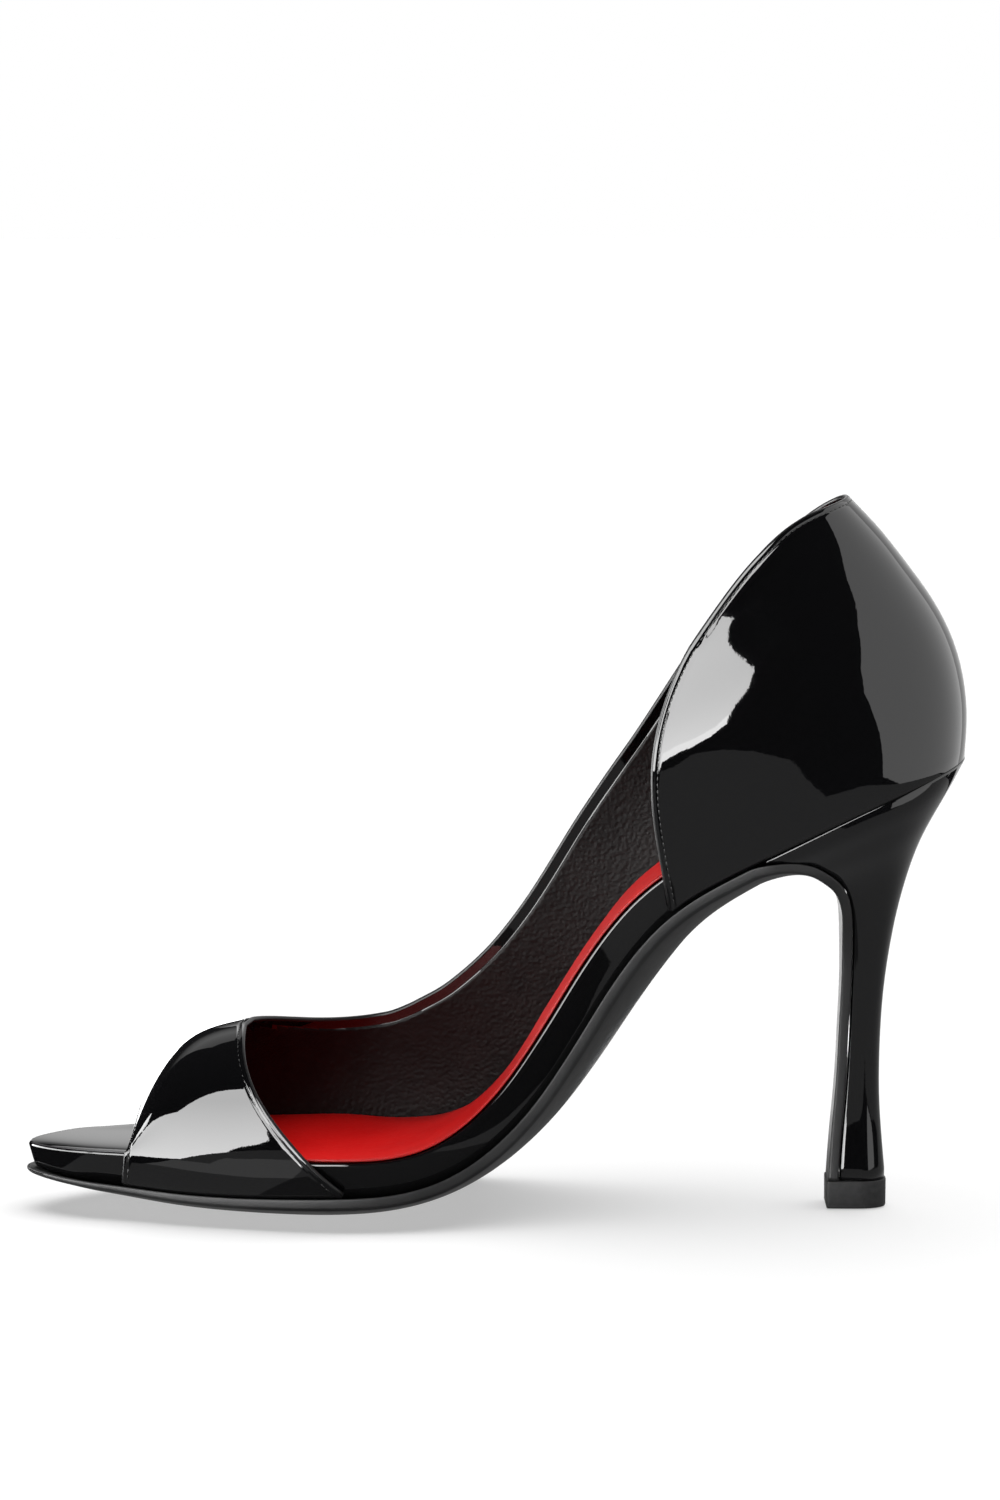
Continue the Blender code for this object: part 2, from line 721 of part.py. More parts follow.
def solid(name, points, faces, look, parent):
    """Named object from points in millimetres, with its faces turned out."""
    mesh = bpy.data.meshes.new(name)
    mesh.from_pydata([(x * MM, y * MM, z * MM) for x, y, z in points], [], faces)
    made = bmesh.new()
    made.from_mesh(mesh)
    bmesh.ops.recalc_face_normals(made, faces=made.faces)
    made.to_mesh(mesh)
    made.free()
    mesh.materials.append(look)
    thing = bpy.data.objects.new(name, mesh)
    thing.parent = parent
    bpy.context.scene.collection.objects.link(thing)
    return thing


def build():
    for thing in list(bpy.data.objects):
        bpy.data.objects.remove(thing)
    pump = bpy.data.objects.new("pump", None)
    bpy.context.scene.collection.objects.link(pump)

    patent = material("patent_leather", (0.006, 0.006, 0.007), 0.12)
    covered = material("covered_heel", (0.007, 0.007, 0.008), 0.15)
    wrapped = material("wrapped_board", (0.008, 0.008, 0.009), 0.18)
    tread = material("sole_leather", (0.03, 0.03, 0.032), 0.5)
    red = material("red_leather", (0.45, 0.012, 0.01), 0.5)
    rubber = material("tip_rubber", (0.035, 0.036, 0.038), 0.6)

    skin = solid("upper", *upper_skin(VAMP_COUNT, INNER_COUNT, FAN_COUNT, OUTER_COUNT), patent, pump)
    shell = skin.modifiers.new("wall", "SOLIDIFY")
    shell.thickness = WALL * MM
    shell.offset = -1.0
    shell.use_even_offset = True

    board_steps = steps_between(BOARD_FRONT, BOARD_BACK, PLATE_SPACING)
    boards = layer_rings(board_steps, board_offsets, (top_up, bottom_up), PLATE_ACROSS)
    solid("insole_board", *ring_solid(boards), wrapped, pump)
    sock_steps = steps_between(step_at(SOCK_FRONT), SOCK_BACK, SOCK_SPACING)
    sock = layer_rings(sock_steps, sock_offsets, (sock_top, sock_bottom), PLATE_ACROSS)
    solid("sock_lining", *ring_solid(sock), red, pump)
    points, faces, footprint, seat_back = heel_solid(HEEL_LEVELS, SEAT_RIM, SEAT_ACROSS)
    solid("heel", points, faces, covered, pump)
    solid("top_piece", *top_piece_solid(footprint), rubber, pump)
    tread_steps = steps_between(OUTSOLE_FRONT, step_at(BREAST), PLATE_SPACING)
    rings = layer_rings(tread_steps, outsole_offsets, (outsole_top, outsole_bottom), OUTSOLE_ACROSS)
    points, faces = ring_solid(rings + breast_rings(seat_back, BREAST_COUNT, OUTSOLE_ACROSS))
    solid("outsole", on_floor(points), faces, tread, pump)

    corners = np.array([vertex.co for thing in pump.children for vertex in thing.data.vertices])
    middle = (corners.min(axis=0) + corners.max(axis=0)) / 2
    pump.location = (-middle[0], -middle[1], 0.0)


build()
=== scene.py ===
"""Looks of the open-toe stiletto pump: patent upper, wrapped insole, red sock, leather sole, covered heel.

Every piece repeats the construction of its solid at a finer step. The shoe is laid out flat first, in
millimetres: `along` runs from the toe tip to the back along the insole, `across` is negative on the inner
side of the foot, and `up` is measured from the middle of the insole. `bend` lays it over the arched line.
"""

import math

import bmesh
import bpy
import numpy as np
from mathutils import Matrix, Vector
from mathutils.kdtree import KDTree


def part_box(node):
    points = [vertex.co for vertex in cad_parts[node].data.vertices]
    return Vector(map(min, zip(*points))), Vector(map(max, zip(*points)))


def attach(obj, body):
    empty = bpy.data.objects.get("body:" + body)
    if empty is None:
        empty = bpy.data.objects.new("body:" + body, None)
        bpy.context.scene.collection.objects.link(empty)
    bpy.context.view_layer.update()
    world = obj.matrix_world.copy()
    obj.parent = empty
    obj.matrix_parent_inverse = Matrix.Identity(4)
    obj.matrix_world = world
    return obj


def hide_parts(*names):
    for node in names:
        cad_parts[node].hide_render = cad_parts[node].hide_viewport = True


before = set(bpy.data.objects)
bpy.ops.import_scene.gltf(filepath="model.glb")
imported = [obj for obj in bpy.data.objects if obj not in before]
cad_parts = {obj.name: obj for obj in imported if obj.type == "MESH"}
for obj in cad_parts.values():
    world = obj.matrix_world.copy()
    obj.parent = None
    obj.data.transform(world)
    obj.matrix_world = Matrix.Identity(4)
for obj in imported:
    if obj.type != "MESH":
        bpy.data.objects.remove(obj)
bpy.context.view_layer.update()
MM = 0.001

# Driving sizes in millimetres
INSOLE_LENGTH = 264.6
BALL_WIDTH = 76.0
VAMP_HEIGHT = 33.5
HEEL_HEIGHT = 109.4
WALL = 1.8
SOCK = 0.6
TOP_PIECE = 6.6
BREAST_SOLE = 2.4
SOCK_CLEAR = 0.4
GAP = 0.3
TREAD_FLAT = 0.7
TUCK = 1.5

# Pitch of the insole line, degrees, at shares of the insole length; the heel height scales it
PITCH_COLUMNS = ("along", "pitch")
PITCH_ROWS = (
    (0.00, -4.0),
    (0.15, -5.0),
    (0.20, -4.0),
    (0.25, -1.5),
    (0.30, 5.0),
    (0.35, 18.0),
    (0.40, 35.0),
    (0.45, 49.5),
    (0.50, 59.5),
    (0.55, 61.5),
    (0.60, 57.0),
    (0.65, 48.0),
    (0.70, 35.5),
    (0.74, 29.0),
    (0.78, 27.0),
    (0.88, 25.0),
    (1.00, 21.5),
)

# Sections of the last: place as a share of the length, half widths as shares of the ball width, then in
# millimetres the lift of the insole's edges, the extra roll of its inner edge, the board's thickness, the
# sag of its underside and the outsole's thickness, and the ridge's height as a share of the vamp height
SECTION_COLUMNS = ("along", "inner", "outer", "dish", "roll", "board", "belly", "sole", "ridge")
SECTION_ROWS = (
    (0.00, 0.215, 0.140, 0.8, 0.0, 5.6, 0.3, 1.2, 1.03),
    (0.10, 0.295, 0.320, 3.0, 0.4, 7.7, 0.7, 1.8, 1.03),
    (0.14, 0.355, 0.380, 3.6, 0.9, 7.9, 0.9, 2.1, 1.03),
    (0.20, 0.425, 0.445, 4.3, 1.4, 7.5, 1.0, 2.5, 1.05),
    (0.29, 0.490, 0.505, 5.1, 1.5, 7.0, 1.2, 2.8, 1.37),
    (0.37, 0.460, 0.505, 3.3, 0.8, 7.0, 2.2, 2.8, 1.75),
    (0.46, 0.360, 0.455, 1.7, 0.5, 7.0, 4.6, 2.8, 2.09),
    (0.55, 0.295, 0.395, 0.2, 0.1, 7.0, 7.2, 2.8, 2.38),
    (0.65, 0.270, 0.355, -0.3, 0.0, 7.2, 7.7, 2.8, 2.63),
    (0.74, 0.290, 0.335, 0.0, 0.0, 7.4, 5.2, 2.8, 2.77),
    (0.82, 0.315, 0.325, 0.0, 0.0, 7.5, 3.9, 2.8, 2.84),
    (0.88, 0.320, 0.320, 0.0, 0.0, 7.5, 2.5, 2.8, 2.84),
    (1.00, 0.320, 0.320, 0.0, 0.0, 7.5, 1.2, 2.8, 2.84),
)

# How far the outer edge of the insole lies below the lift of its inner edge, millimetres
DROP_COLUMNS = ("along", "drop")
DROP_ROWS = (
    (0.22, 0.0),
    (0.28, 0.5),
    (0.35, 3.5),
    (0.39, 6.0),
    (0.42, 7.0),
    (0.52, 6.5),
    (0.59, 7.0),
    (0.65, 6.5),
    (0.74, 5.0),
    (0.85, 1.0),
    (0.93, 0.0),
)

# Extra hollow that the foot presses into the padded middle of the insole, millimetres
HOLLOW_COLUMNS = ("along", "hollow")
HOLLOW_ROWS = (
    (0.340, 0.0),
    (0.420, 0.6),
    (0.520, 0.7),
    (0.575, 1.4),
    (0.620, 1.6),
    (0.670, 1.0),
    (0.740, 0.3),
    (0.800, 0.0),
)

# Height of the topline over the insole on both sides of the foot, millimetres
TOPLINE_COLUMNS = ("along", "inner", "outer")
TOPLINE_ROWS = (
    (0.19, 33.5, 33.5),
    (0.25, 30.5, 30.5),
    (0.32, 29.0, 29.0),
    (0.39, 27.5, 27.5),
    (0.46, 24.5, 24.5),
    (0.52, 19.5, 19.5),
    (0.60, 15.5, 15.5),
    (0.68, 19.5, 19.5),
    (0.76, 35.0, 31.0),
    (0.85, 50.5, 45.5),
    (0.90, 57.5, 52.0),
    (0.95, 61.0, 57.5),
    (1.00, 60.5, 60.5),
)

# Swell of the counter outside the insole's edge, by height, at its sides and at the back seam
COUNTER_COLUMNS = ("up", "side", "back")
COUNTER_ROWS = (
    (-7.5, -2.0, -1.0),
    (0.0, 0.0, 2.5),
    (10.0, 1.5, 5.5),
    (20.0, 2.0, 6.5),
    (30.0, 1.0, 5.5),
    (40.0, -1.0, 3.0),
    (50.0, -3.0, 0.0),
    (61.0, -6.0, -4.0),
)

# Covered heel, level by level: how far its front lies ahead of the back of the seat, the front's height, the
# same for its back, its half width and how far the inner and the outer edge of its front curl up
HEEL_ROWS = (
    (42.0, 83.6, 2.4, 104.0, 22.0, 2.4, 0.4),
    (37.0, 83.5, 5.5, 98.4, 19.5, 1.4, 0.3),
    (33.3, 82.0, 8.7, 92.6, 16.8, 0.7, 0.1),
    (30.2, 79.7, 11.4, 86.6, 13.4, 0.2, 0.0),
    (27.8, 75.7, 13.8, 79.4, 10.4, 0.0, 0.0),
    (26.8, 69.5, 16.1, 70.4, 8.4, 0.0, 0.0),
    (26.6, 60.0, 18.1, 59.0, 6.4, 0.0, 0.0),
    (27.0, 46.0, 19.4, 46.0, 5.1, 0.0, 0.0),
    (27.8, 30.0, 19.8, 30.0, 4.9, 0.0, 0.0),
    (28.8, 18.0, 19.2, 18.0, 5.4, 0.0, 0.0),
    (29.4, 9.0, 18.4, 9.0, 6.3, 0.0, 0.0),
)

# Outsole where it leaves the insole and runs down the front of the heel: how far its middle lies ahead of the
# back of the seat, its height, half width and how far its inner and its outer edge curl up
BREAST_ROWS = (
    (44.5, 80.0, 21.8, 3.4, 0.5),
    (41.0, 80.8, 20.8, 2.5, 0.4),
    (37.3, 80.7, 19.0, 1.5, 0.2),
    (34.6, 79.6, 17.0, 0.8, 0.1),
    (32.1, 77.8, 14.6, 0.4, 0.0),
    (30.4, 75.2, 12.4, 0.1, 0.0),
    (29.6, 72.2, 10.6, 0.0, 0.0),
    (29.3, 66.0, 7.9, 0.0, 0.0),
    (29.3, 56.0, 5.9, 0.0, 0.0),
    (29.8, 44.0, 5.0, 0.0, 0.0),
    (30.5, 30.0, 4.9, 0.0, 0.0),
    (31.5, 18.0, 5.4, 0.0, 0.0),
    (32.2, 6.9, 6.4, 0.0, 0.0),
)

# Ends and edges along the insole, millimetres from the toe tip
TOE_ROUND = 20.0
HEEL_ROUND = 27.0
HEEL_START = INSOLE_LENGTH - HEEL_ROUND
THROAT = 50.6
THROAT_RUN = 26.6
PEEP_INNER = 25.0
PEEP_OUTER = 27.5
PEEP_TOP = 26.6
COUNTER_FOOT = 182.8
COUNTER_TOP = 216.2
SOCK_FRONT = 47.8
BREAST = 205.5
HEEL_FRONT = 209.0
TIP_FRONT = 32.3

# Fall of the ridge towards the open toe: its depth at one place, and the run over which it dies out
TOE_FALL = 27.0
TOE_FALL_AT = 26.0
TOE_FALL_RUN = 8.0

# Where one shape turns into another along the insole: start and end, millimetres from the toe tip
COUNTER_BLEND = (140.0, 210.0)
WELT_BLEND = (60.0, 130.0)
TIP_BLEND = (8.0, 20.0)

# Shape numbers
SQUARE = 0.87
LOW_ANGLE = -0.3
LOW_RISE = -0.2
THROAT_SWEEP = 1.84
PEEP_SWEEP = 2.0
COUNTER_SWEEP = 3.2
COUNTER_BOW = 0.9
RIDGE_ACROSS = -4.0
HEEL_CORNER = 2.3
OUTSOLE_EDGE = 0.8
OUTSOLE_TIP = 0.6
BACK_CLEAR = 0.9
TIP_INSET = 0.9
SIDE_CHANGE = 9.0
SOLID_BOARD_TIP = 0.12

# Folded and stitched edges of the upper, millimetres; the taper of a thread is a power, its stand a share of
# its thickness, and the smoothing and the rim's steps are counts
FOLD_BAND = 3.6
FOLD_STEP = 0.24
FOLD_WALL = 1.3
FOLD_RISE = 0.05
FOLD_RISE_RUN = (0.0, 0.5)
FOLD_FALL_START = 0.7
FOLD_INSIDE = (2.3, 2.8)
STITCH_IN = 1.1
STITCH_GROOVE = 0.12
STITCH_GROOVE_HALF = 0.28
STITCH_PITCH = 1.6
STITCH_LENGTH = 1.2
STITCH_THICK = 0.28
STITCH_END = STITCH_THICK / 12
STITCH_TAPER = 0.6
STITCH_STAND = 0.3
STITCH_AIM = 0.5
STITCH_SMOOTHING = 5
SHORTEST_ROW = 4 * STITCH_PITCH
RIM_ROUND = 0.5
SOLE_RIM_ROUND = 0.9
RIM_STEPS = 6

# Soft troughs and swells of the inner side's skin, millimetres in the frame: place along X and Z, reach along
# X and Z, depth. They grow from nothing at Y 0 to their full depth at one place across
DENT_ROWS = (
    (61.5, 137.0, 5.0, 4.0, 0.045),
    (50.0, 122.0, 5.0, 6.0, -0.035),
    (43.5, 112.0, 4.5, 3.0, 0.080),
    (84.0, 109.0, 8.0, 4.0, 0.050),
    (-81.0, 22.5, 5.0, 3.0, 0.050),
    (-70.0, 20.0, 6.0, 3.0, -0.040),
    (-57.0, 16.0, 4.0, 3.0, 0.060),
)
DENT_FULL = -6.0

# Rounding of the plates' edges at top and bottom, then place, depth and half width of the seam in the rand,
# millimetres
BOARD_FILLETS = (0.8, 0.6)
SOCK_FILLETS = (0.35, 0.1)
OUTSOLE_FILLETS = (0.5, 0.8)
BREAST_FILLETS = (0.4, 0.6)
RAND_SEAM = 75.6
RAND_SEAM_DEPTH = 0.3
RAND_SEAM_HALF = 0.45

# Edge steps where the plates and the heel's seat begin or end, short of the very tip and back, the step over
# which the edge's direction is taken, and the limit of a share of the way to the edge
PLATE_FRONT = 0.05
BOARD_BACK = 2.95
SOCK_BACK = 2.93
SEAT_BACK = 2.96
EDGE_STEP = 0.01
EDGE_SHARE_LIMIT = 1.1

# Heel, millimetres: rounding of its corners, its lip under the counter as inset and sink, and the lip's rise
HEEL_ROUNDING = 0.7
HEEL_LIP = ((0.45, 0.0), (1.3, 0.35))
HEEL_LIP_RISE = 0.25

# Top piece from its underside to its top: scale of the heel's footprint and level, millimetres
TIP_RINGS = (
    (0.97, 0.0),
    (1.03, 0.0),
    (1.045, 0.35),
    (1.05, TOP_PIECE - 0.3),
    (1.035, TOP_PIECE),
    (0.96, TOP_PIECE),
)

# The insole line runs on past both ends, millimetres, and is worked out at this many points; the scale of its
# pitch is searched for in a range, by halving it
LINE_BEFORE = 10.0
LINE_AFTER = 30.0
LINE_COUNT = 6000
SCALE_RANGE = (0.8, 1.2)
SCALE_HALVINGS = 40

# A place well inside the upper: along, across and up
INSIDE_PLACE = (150.0, 2.0, 10.0)

# Fineness of the upper: points at which a line is first measured, points between the folded edges of a rib or
# line, ribs of each stretch, and millimetres between the points on its edges that distances are taken to
DENSE_COUNT = 400
RIB_BODY = 24
VAMP_BODY = 16
COUNTER_BODY = 30
FAN_COUNT = 40
OUTER_COUNT = 130
EDGE_SPACING = 0.2

# Fineness of the bottom: millimetres between rings, how much closer they are round the toe and the heel, and
# points across a plate and round each of its corners; places of the rings that lead into the breast,
# millimetres before it, and the step over which its direction is taken; then points round the heel's seat,
# levels of the heel and points round a level
PLATE_SPACING = 1.2
SOCK_SPACING = 1.5
BREAST_SPACING = 0.8
TOE_CLOSER = 2.8
HEEL_CLOSER = 3.0
BOARD_COUNTS = (24, 7)
SOCK_COUNTS = (30, 4)
OUTSOLE_COUNTS = (30, 6)
BREAST_LEAD = (18.0, 12.0, 6.0, 0.0)
BREAST_STEP = 0.05
SEAT_COUNTS = (24, 30, 50)
SEAT_ACROSS = 9
HEEL_LEVELS = 90
HEEL_RING = 200

# Studio: the middle of its light cards, its reach and its floor's level in metres, then greys, strengths and
# angles in degrees
STUDIO_AIM = Vector((0.0, 0.0, 0.07))
STUDIO_REACH = 6.0
FLOOR_LEVEL = -0.0003
FLOOR_GREY = 0.53
FLOOR_GLOW = 0.47
FLOOR_ROUGHNESS = 0.9
DOME_SHARE = 0.95
DOME_SEGMENTS = (48, 24)
SUN_STRENGTH = 3.6
SUN_ANGLE = 75.0
SUN_TURN = (-8.0, 6.0, 0.0)
WORLD_GREY = (0.012, 0.012, 0.013, 1.0)

# Patches of floor that only reflections see: name, strength, level and corners, metres. The lit floor has a
# shade beside the arch, a lighter part in front of the vamp and a brighter one behind the shoe
FLOOR_PATCHES = (
    ("lit_floor_reflection", 0.34, -0.0006, (
        (-0.12, 0.30), (-0.12, -0.06), (-0.14, -0.09), (-0.26, -0.32), (-0.17, -0.93), (-0.05, -0.85),
        (0.05, -0.60), (0.11, -0.38), (0.12, -0.20), (0.34, -0.18), (0.36, 0.00), (0.20, 0.40))),
    ("dark_floor_reflection", 0.10, -0.0005, (
        (-0.06, -0.03), (0.06, -0.03), (0.06, -0.13), (-0.01, -0.13), (-0.06, -0.06))),
    ("near_floor_reflection", 0.85, -0.0005, (
        (-0.12, -0.055), (-0.14, -0.085), (-0.115, -0.09), (-0.145, -0.145), (-0.085, -0.14),
        (-0.06, -0.06))),
    ("back_floor_reflection", 3.6, -0.0005, (
        (-0.15, 0.10), (0.06, 0.10), (0.12, 0.90), (-0.30, 0.90))),
)

# Light cards that only reflections see: name, metres from the aim, light and outline, with angles in degrees.
# The light is one strength, or two elevations with the strength at each. The outline's points are an azimuth
# from the front and the lowest and highest elevation there
CARDS = (
    ("card_left", 1.2, ((-12.0, 16.5), (30.0, 11.0)), (
        (-125.0, -12.0, 12.0), (-110.0, -12.0, 20.0), (-60.0, -12.0, 22.0), (-46.0, -12.0, 48.0),
        (-42.0, -12.0, 40.0), (-38.0, -8.0, 18.0), (-35.0, 0.0, 2.0))),
    ("card_front", 1.2, ((-4.0, 17.0), (19.0, 12.5)), (
        (-31.0, -4.0, 20.0), (-13.0, -3.5, 20.0), (-8.0, 0.5, 19.0), (-6.0, 4.0, 18.0))),
    ("card_front_low", 1.19, 19.0, ((-13.5, -3.5, -0.5), (-8.0, 0.5, 3.5), (-6.0, 4.0, 8.0))),
    ("card_front_high", 1.2, 12.0, ((-34.0, 19.0, 42.0), (-15.0, 21.0, 42.0), (-9.0, 28.0, 42.0))),
    ("card_right", 0.3, 1.75, (
        (32.0, 10.0, 20.0), (38.0, -1.0, 33.0), (41.0, -14.0, 35.0), (62.0, -12.0, 46.0),
        (90.0, -8.0, 60.0), (122.0, -8.0, 60.0))),
    ("card_rear", 1.2, 0.8, ((122.0, -20.0, 60.0), (168.0, -10.0, 60.0))),
    ("card_back", 1.2, ((4.0, 0.12), (26.0, 2.1)), ((168.0, 2.0, 60.0), (190.0, 2.0, 60.0))),
    ("card_back_left", 1.2, ((12.0, 0.02), (28.0, 0.55)), ((190.0, 8.0, 45.0), (216.0, 8.0, 45.0))),
)
CARD_COLUMNS = 61
CARD_ROWS = 13

# Places of the dark and the light tone of a mottled colour on its noise
MOTTLE_STOPS = (0.3, 0.75)

# Camera: elevation in degrees, then metres, and the sensor's width in millimetres
CAMERA_ELEVATION = 7.0
CAMERA_DISTANCE = 1.5
CAMERA_HEIGHT = 0.3585
CAMERA_AIM = Vector((0.0011, 0.0, 0.110))
CAMERA_SENSOR = 36.0


def spline(knots, values):
    """Natural cubic curve through the given values, which may be numbers or arrays."""
    knots = np.asarray(knots, float)
    values = np.asarray(values, float)
    steps = np.diff(knots)
    flat = values.reshape(len(knots), -1)
    slopes = np.diff(flat, axis=0) / steps[:, None]
    matrix = np.eye(len(knots))
    right = np.zeros_like(flat)
    for i in range(1, len(knots) - 1):
        matrix[i, i - 1:i + 2] = steps[i - 1], 2 * (steps[i - 1] + steps[i]), steps[i]
        right[i] = 6 * (slopes[i] - slopes[i - 1])
    bends = np.linalg.solve(matrix, right).reshape(values.shape)

    def curve(place):
        place = np.clip(place, knots[0], knots[-1])
        i = np.clip(np.searchsorted(knots, place) - 1, 0, len(steps) - 1)
        after = (knots[i + 1] - place) / steps[i]
        before = (place - knots[i]) / steps[i]
        turn = (after ** 3 - after) * bends[i] + (before ** 3 - before) * bends[i + 1]
        return after * values[i] + before * values[i + 1] + turn * steps[i] ** 2 / 6

    return curve


def steady(knots, values):
    """Smooth curve that never overshoots the given values and keeps level runs level."""
    knots = np.asarray(knots, float)
    values = np.asarray(values, float)
    steps = np.diff(knots)
    slopes = np.diff(values) / steps
    ends = np.concatenate(([slopes[0]], np.zeros(len(steps) - 1), [slopes[-1]]))
    for i in range(1, len(steps)):
        if slopes[i - 1] * slopes[i] > 0:
            ends[i] = 2 * slopes[i - 1] * slopes[i] / (slopes[i - 1] + slopes[i])

    def curve(place):
        place = np.clip(place, knots[0], knots[-1])
        i = np.clip(np.searchsorted(knots, place) - 1, 0, len(steps) - 1)
        t = (place - knots[i]) / steps[i]
        rise = values[i] + (values[i + 1] - values[i]) * t * t * (3 - 2 * t)
        lead = ends[i] * t * (1 - t) ** 2 - ends[i + 1] * t * t * (1 - t)
        return rise + lead * steps[i]

    return curve


def table_curve(kind, columns, rows, name, scale=1.0, place_scale=INSOLE_LENGTH):
    """Curve of one kind through a column of a table, over the table's first column."""
    values = np.array([row[columns.index(name)] for row in rows])
    return kind(np.array(rows)[:, 0] * place_scale, values * scale)


def section(name, scale=1.0):
    return table_curve(spline, SECTION_COLUMNS, SECTION_ROWS, name, scale)


inner_width = section("inner", BALL_WIDTH)
outer_width = section("outer", BALL_WIDTH)
dish = section("dish")
roll = section("roll")
board = section("board")
belly = section("belly")
sole = section("sole")
ridge_line = section("ridge", VAMP_HEIGHT)
drop = table_curve(steady, DROP_COLUMNS, DROP_ROWS, "drop")
hollow = table_curve(steady, HOLLOW_COLUMNS, HOLLOW_ROWS, "hollow")
pitch_curve = table_curve(steady, PITCH_COLUMNS, PITCH_ROWS, "pitch")
topline_inner = table_curve(spline, TOPLINE_COLUMNS, TOPLINE_ROWS, "inner")
topline_outer = table_curve(spline, TOPLINE_COLUMNS, TOPLINE_ROWS, "outer")
counter_side = table_curve(spline, COUNTER_COLUMNS, COUNTER_ROWS, "side", place_scale=1.0)
counter_back = table_curve(spline, COUNTER_COLUMNS, COUNTER_ROWS, "back", place_scale=1.0)

LINE_S = np.linspace(-LINE_BEFORE, INSOLE_LENGTH + LINE_AFTER, LINE_COUNT)


def insole_line(scale):
    """The arched middle line of the insole for one scale of the pitch, standing on the floor."""
    pitch = np.radians(pitch_curve(LINE_S)) * scale
    step = np.diff(LINE_S)
    x = np.concatenate(([0.0], np.cumsum(np.cos((pitch[1:] + pitch[:-1]) / 2) * step)))
    z = np.concatenate(([0.0], np.cumsum(np.sin((pitch[1:] + pitch[:-1]) / 2) * step)))
    tread = z - (board(LINE_S) + belly(LINE_S) + sole(LINE_S) + GAP) * np.cos(pitch)
    z = z - tread.min() - TREAD_FLAT
    return pitch, x, z


def seat_height(scale):
    pitch, x, z = insole_line(scale)
    back = np.searchsorted(LINE_S, INSOLE_LENGTH)
    return z[back] - board(INSOLE_LENGTH) * math.cos(pitch[back])


def fitted_scale():
    """Scale of the pitch that gives the heel height."""
    low, high = SCALE_RANGE
    for _ in range(SCALE_HALVINGS):
        middle = (low + high) / 2
        if seat_height(middle) < HEEL_HEIGHT:
            low = middle
        else:
            high = middle
    return (low + high) / 2


LINE_PITCH, LINE_X, LINE_Z = insole_line(fitted_scale())
LINE_X = LINE_X - np.interp(INSOLE_LENGTH / 2, LINE_S, LINE_X)


def bend(along, across, up):
    """Place on the finished shoe of a place on the flat shoe."""
    pitch = np.interp(along, LINE_S, LINE_PITCH)
    x = np.interp(along, LINE_S, LINE_X) - up * np.sin(pitch)
    z = np.interp(along, LINE_S, LINE_Z) + up * np.cos(pitch)
    return np.stack(np.broadcast_arrays(x, across, z), axis=-1)


def ease(start, end, place):
    t = np.clip((np.asarray(place, float) - start) / (end - start), 0.0, 1.0)
    return t * t * t * (t * (6 * t - 15) + 10)


def mix(first, second, share):
    return first + (second - first) * share


def unit(vectors):
    return vectors / np.maximum(np.linalg.norm(vectors, axis=-1, keepdims=True), 1e-9)


def ends(along):
    """How far into the rounded toe and into the rounded heel a place lies, each from 0 to 1."""
    return np.clip(1 - along / TOE_ROUND, 0.0, 1.0), np.clip((along - HEEL_START) / HEEL_ROUND, 0.0, 1.0)


def middle_and_half(along):
    """Middle of the insole's width and half of that width."""
    inner, outer = inner_width(along), outer_width(along)
    return (outer - inner) / 2, (inner + outer) / 2


def outline(side, step):
    """Edge of the insole: step 0 is the toe tip, 1 to 2 the sides, 3 the back."""
    step = np.asarray(step, float)
    toe_part = TOE_ROUND * (1 - np.cos(np.clip(step, 0.0, 1.0) * math.pi / 2))
    side_part = mix(TOE_ROUND, HEEL_START, step - 1)
    turn = np.clip(np.cos(np.clip(3 - step, 0.0, 1.0) * math.pi / 2), 0.0, 1.0)
    back_part = HEEL_START + HEEL_ROUND * turn ** (2 / HEEL_CORNER)
    along = np.where(step < 1, toe_part, np.where(step < 2, side_part, back_part))
    toe, heel = ends(along)
    rounded = np.sqrt(1 - toe ** 2) * (1 - heel ** HEEL_CORNER) ** (1 / HEEL_CORNER)
    middle, half = middle_and_half(along)
    return along, middle + side * half * rounded


def edge_share(along, across):
    """0 on the middle of the insole, 1 at its edge."""
    toe, heel = ends(along)
    middle, half = middle_and_half(along)
    return np.minimum(((across - middle) / half) ** 2 + toe ** 2 + heel ** 2, EDGE_SHARE_LIMIT)


def step_at(along):
    return 1 + (along - TOE_ROUND) / (HEEL_START - TOE_ROUND)


def outward(side, step):
    """Direction out of the insole's edge."""
    before = outline(side, np.maximum(step - EDGE_STEP, 0.0))
    after = outline(side, np.minimum(step + EDGE_STEP, 3.0))
    length = np.hypot(after[0] - before[0], after[1] - before[1])
    return -side * (after[1] - before[1]) / length, side * (after[0] - before[0]) / length


def swell(step, up):
    """How far the last stands outside the insole's edge at a height."""
    along = outline(1, step)[0]
    back = np.sin(np.clip(step - 2, 0.0, 1.0) * math.pi / 2) ** 2
    counter = mix(counter_side(up), counter_back(up), back)
    forefoot = -TUCK * (np.minimum(up, 0.0) / board(along)) ** 2
    return mix(forefoot, counter, ease(*COUNTER_BLEND, along))


def edge(side, step, offset):
    along, across = outline(side, step)
    aside = outward(side, step)
    return along + aside[0] * offset, across + aside[1] * offset


def ridge(along):
    """Height of the ridge over the insole, falling towards the open toe."""
    return ridge_line(along) - TOE_FALL * np.exp((TOE_FALL_AT - along) / TOE_FALL_RUN)


def lift(side, along):
    """Height of the insole's edge over its middle."""
    return dish(along) - (drop(along) if side > 0 else 0.0)


def rise_of(side, along, angle):
    """Height over the insole's edge at an angle of the rib; a quarter turn is the ridge."""
    high = (ridge(along) - lift(side, along)) * np.sin(np.maximum(angle, 0.0)) ** SQUARE
    return np.where(angle < 0, -board(along) * angle / LOW_ANGLE, high)


